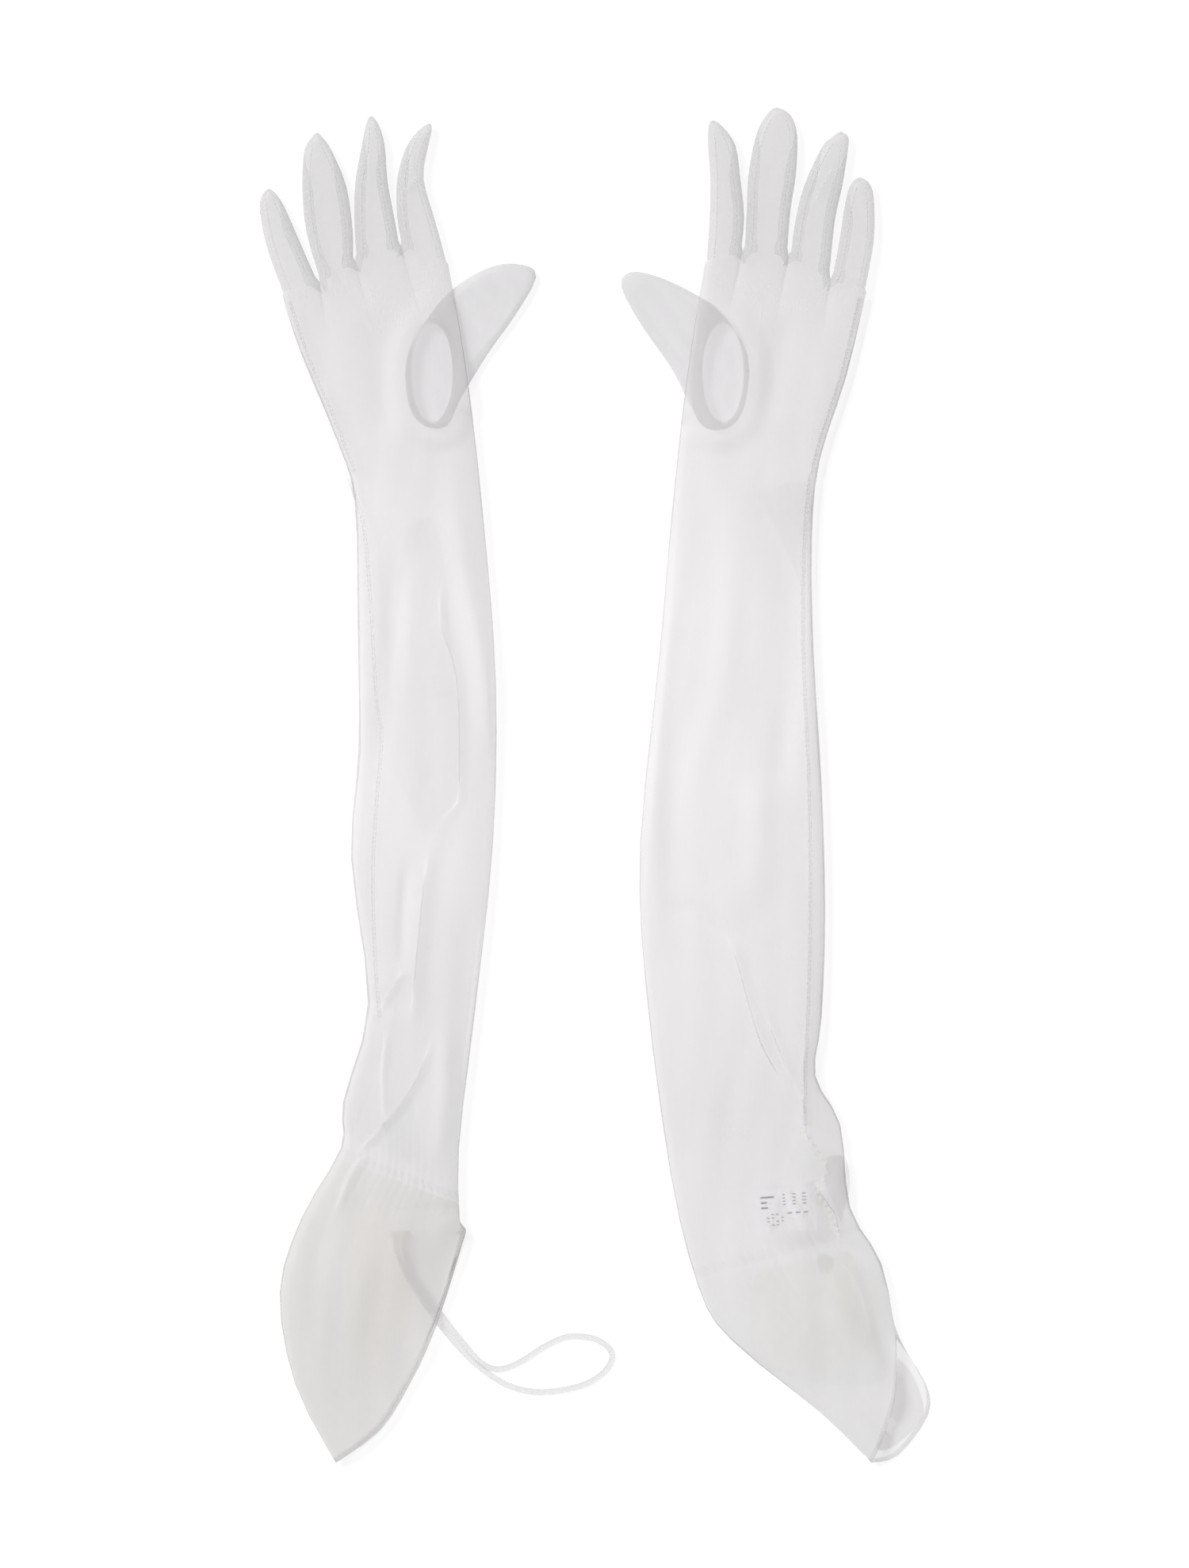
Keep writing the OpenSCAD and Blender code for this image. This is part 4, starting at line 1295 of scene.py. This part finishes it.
# Folded and doubled cloth that shows through the upper layer: where it is, what it is made of,
# how far below the upper layer it lies, and its outline in millimetres
PATCHES = {
    "left": [
        ("wrist", FOLDED, 0.5, TWIST),
        ("elbow", FOLDED, 0.5, TWIST),
        ("upper", CREAM, 0.5, [
            (-98, -56), (-99, -81), (-103, -117), (-110, -148), (-121, -175), (-130, -198),
            (-138, -204), (-139, -198), (-133, -180), (-122, -153), (-112, -121), (-109, -106),
            (-105, -62)
        ]),
        ("upper", FOLDED, 0.9, [
            (-122, -128), (-117, -135), (-121, -153), (-130, -180), (-137, -200), (-140, -196),
            (-142, -184), (-140, -166), (-134, -148), (-128, -135)
        ]),
        ("upper", CREAM, 1.0, [
            (-104, -176), (-100, -196), (-98, -216), (-118, -208), (-130, -203), (-127, -197),
            (-114, -186)
        ]),
    ],
    "right": [
        ("wrist", FOLDED, 0.5, [
            (92, 166), (122, 170), (120, 130), (118, 112), (106, 140)
        ]),
        ("upper", CREAM, 0.45, [
            (118.9, -195.3), (126.4, -205.8), (132.5, -216.4), (131.8, -221), (126.4, -228.1),
            (129.9, -235.1), (134.2, -242.1), (136.5, -249.2), (138.6, -253), (118, -257),
            (97, -262), (101, -247), (106, -228), (112, -212)
        ]),
        ("upper", KNOTTED, 1.5, [
            (126, -228), (121, -232), (124, -236), (129, -240), (131, -236), (129, -231)
        ]),
        ("upper", ORGANZA, 0.6, [
            (132, -211), (138, -210), (143, -213), (145, -228), (142, -240), (140, -248),
            (136, -238), (131, -226)
        ]),
        ("cuff", CREAM, 0.5, [
            (94, -275), (110, -272), (128, -268), (140, -265), (150.6, -270.3), (154.8, -284.3),
            (158.8, -298.4), (164.6, -324.2), (165, -338), (141, -341), (117.7, -337),
            (90.8, -327.7), (89.2, -312.4), (88.5, -289)
        ]),
        ("cuff", ORGANZA, 0.4, [
            (172, -325), (180, -334), (186, -349), (186, -359), (178, -369), (167, -377),
            (160, -376), (166, -364.5), (170, -346.5)
        ]),
        ("cuff", KNOTTED, 1.2, [
            (126.4, -267), (131, -266), (136, -270), (134, -277), (127.5, -276)
        ]),
        ("cuff", CREAM, 1.3, [
            (131, -271), (137, -266), (145, -266), (150, -274), (153, -286), (157, -302),
            (162, -320), (157, -325), (146, -309), (137, -293)
        ]),
    ],
}


FACING_SHARES = (1, 0.8, 0.55)  # the sizes of the facing's layers, each under the last
ZONE_PART = {"wrist": (ELBOW_JOIN, math.inf), "elbow": (-math.inf, ELBOW_JOIN)}


def build_lining(glove, sleeves, cuff):
    """The cuff's facing, and the folded cloth that shows through."""
    low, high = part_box(glove.body("cuff_facing"))
    centre = np.array([(low[0] + high[0]) / 2, (low[1] + high[1]) / 2])
    edge = Outline(glove.body("cuff_facing")).trace(centre, 0, math.tau, 97)[:-1]
    for k, share in enumerate(FACING_SHARES):
        build_patch(glove, f"cuff_facing_{k + 1}", Cloth(cuff), centre + (edge - centre) * share,
                    (0.9 + 0.8 * k) * MM, FACING, "cuff", "organza_facing", "cuff_facing")
    upper, lower = sleeves
    over = {"elbow": upper, "upper": upper, "wrist": lower, "cuff": cuff}
    for k, (zone, material, below, points) in enumerate(PATCHES[glove.side]):
        edge = spline(np.array(points + points[:1], float) * MM, 8)[:-1]
        if zone in ZONE_PART:
            edge[:, 1] = edge[:, 1].clip(*ZONE_PART[zone])
        build_patch(glove, f"inner_fold_{k + 1}", Cloth(over[zone]), edge, below * MM, material,
                    zone)


# The scalloped edge of the right glove's gathered cloth: its lines in millimetres
FRILLS = [
    [(118.9, -195.3), (126.4, -205.8), (132.5, -216.4), (131.8, -221), (126.4, -228.1)],
    [(125.4, -228.1), (129.9, -235.1), (134.2, -242.1), (136.5, -249.2), (139.3, -256.2)],
]
FRILL_WIDTH = 3.2 * MM
SCALLOP = 0.8 * MM


def build_frills(glove, sleeve):
    """Strips of the gathered edge that stand up in small scallops on the upper layer."""
    cloth = Cloth(sleeve)
    for k, points in enumerate(FRILLS):
        line = resample(spline(np.array(points, float) * MM, 12), 90)
        across = sideways(line)
        steps = np.arange(len(line))
        lanes = []
        for share in np.linspace(0, 1, 9):
            wave = np.sin(steps * 0.62 + 0.9 * np.sin(steps * 0.11)) * share ** 2
            xy = line + across * ((1 - share) * FRILL_WIDTH + SCALLOP * wave)[:, None]
            lane = cloth.drape(xy, 0.15 * MM)
            lane[:, 2] += share ** 2 * (0.5 * MM + 0.4 * MM * np.cos(steps * 0.57))
            lanes.append(lane)
        grid = np.array(lanes).transpose(1, 0, 2)
        glove.add(f"gathered_edge_{k + 1}", grid, FRILLED, "upper", sewn_to="upper")


LABEL_SIZE = np.array([34, 28]) * MM
LABEL_TURN = math.radians(4)
LABEL_GRID = (22, 26)
LABEL_DEPTH = 0.75 * MM


def label_bars():
    """Plain bars in place of the print: left edge, top, length and height in millimetres."""
    bars = [(2.6, 7.4 + 3 * k, length, 1.1) for k, length in enumerate((7.6, 3.4, 3.8))]
    bars += [(15 + 5.6 * column, 6.6 + 1.9 * row, 1.3 + 0.9 * abs(math.sin(3 * row + column)), 0.6)
             for column in range(3) for row in range(4)]
    bars += [(5.4 + 2.7 * column, 17.5 + 2 * row, 1.5, 0.6)
             for row in range(4) for column in range(4) if (row + column) % 3]
    return bars + [(17.5 + 4.6 * column, 17.2, 2.4, 0.8) for column in range(3)]


def build_label(glove, upper):
    """The care label under the upper layer, with plain bars where the print would be."""
    low, high = (np.array(c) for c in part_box("care_label"))
    middle = (low + high)[:2] / 2
    along = np.array([math.cos(LABEL_TURN), math.sin(LABEL_TURN)])
    up = np.array([-along[1], along[0]])
    cloth = Cloth(upper)

    def spot(u, v, above):
        xy = middle + (along * u * LABEL_SIZE[0] + up * v * LABEL_SIZE[1]) / 2
        z = cloth.drape([xy], above - LABEL_DEPTH)[0, 2] + 0.2 * MM * math.sin(3 * u + 1.4 * v)
        return (*xy, z)

    rows, cols = LABEL_GRID
    points = [spot(u, v, 0) for v in np.linspace(-1, 1, rows) for u in np.linspace(-1, 1, cols)]
    tape = piece("label_tape", points, quads(rows, cols), LABEL)
    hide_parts("care_label")
    fold = [spot(u, v, 0.22 * MM) for v in np.linspace(0.8, 1.0, 4)
            for u in np.linspace(-1, 1, cols)]
    fold = piece("label_fold", fold, quads(4, cols), LABEL)
    bars, faces = [], []
    for x, y, length, height in label_bars():
        u0, u1 = (2 * side * MM / LABEL_SIZE[0] - 1 for side in (x, x + length))
        v0, v1 = (1 - 2 * side * MM / LABEL_SIZE[1] for side in (y + height, y))
        faces.append(tuple(range(len(bars), len(bars) + 4)))
        bars += [spot(u, v, 0.12 * MM) for u, v in ((u0, v0), (u1, v0), (u1, v1), (u0, v1))]
    bars = piece("label_bars", bars, faces, INK)
    for obj in (tape, fold, bars):
        glove.place(obj, "upper")
    size = tuple(round(float(side), 3) for side in LABEL_SIZE)
    glove.sheet("label", tape, (size, size[0] * size[1]), "laid", (glove.body("sleeve_upper"),))
    glove.sheets["label"]["trims"] += [fold, bars]


gloves = [Glove(side) for side in SIDES]
for glove in gloves:
    sleeves = build_sleeves(glove)
    build_band(glove)
    cuff = build_cuff(glove)
    build_side_seam(glove, sleeves)
    build_lining(glove, sleeves, cuff)
    if glove.side == "right":
        build_frills(glove, sleeves[0])
        build_label(glove, sleeves[0])
    grids = {finger: build_finger(glove, finger) for finger in FINGERS}
    for i, finger in enumerate(glove.order):
        if i > 0:
            build_fourchette(glove, finger, False, grids[finger])
        if i < len(FINGERS) - 1:
            build_fourchette(glove, finger, True, grids[finger])
        build_finger_seams(glove, finger, grids[finger])
    build_hand_seam(glove, build_hand(glove, grids))
    build_thumb(glove)
    build_thumb_seam(glove)
    glove.declare()
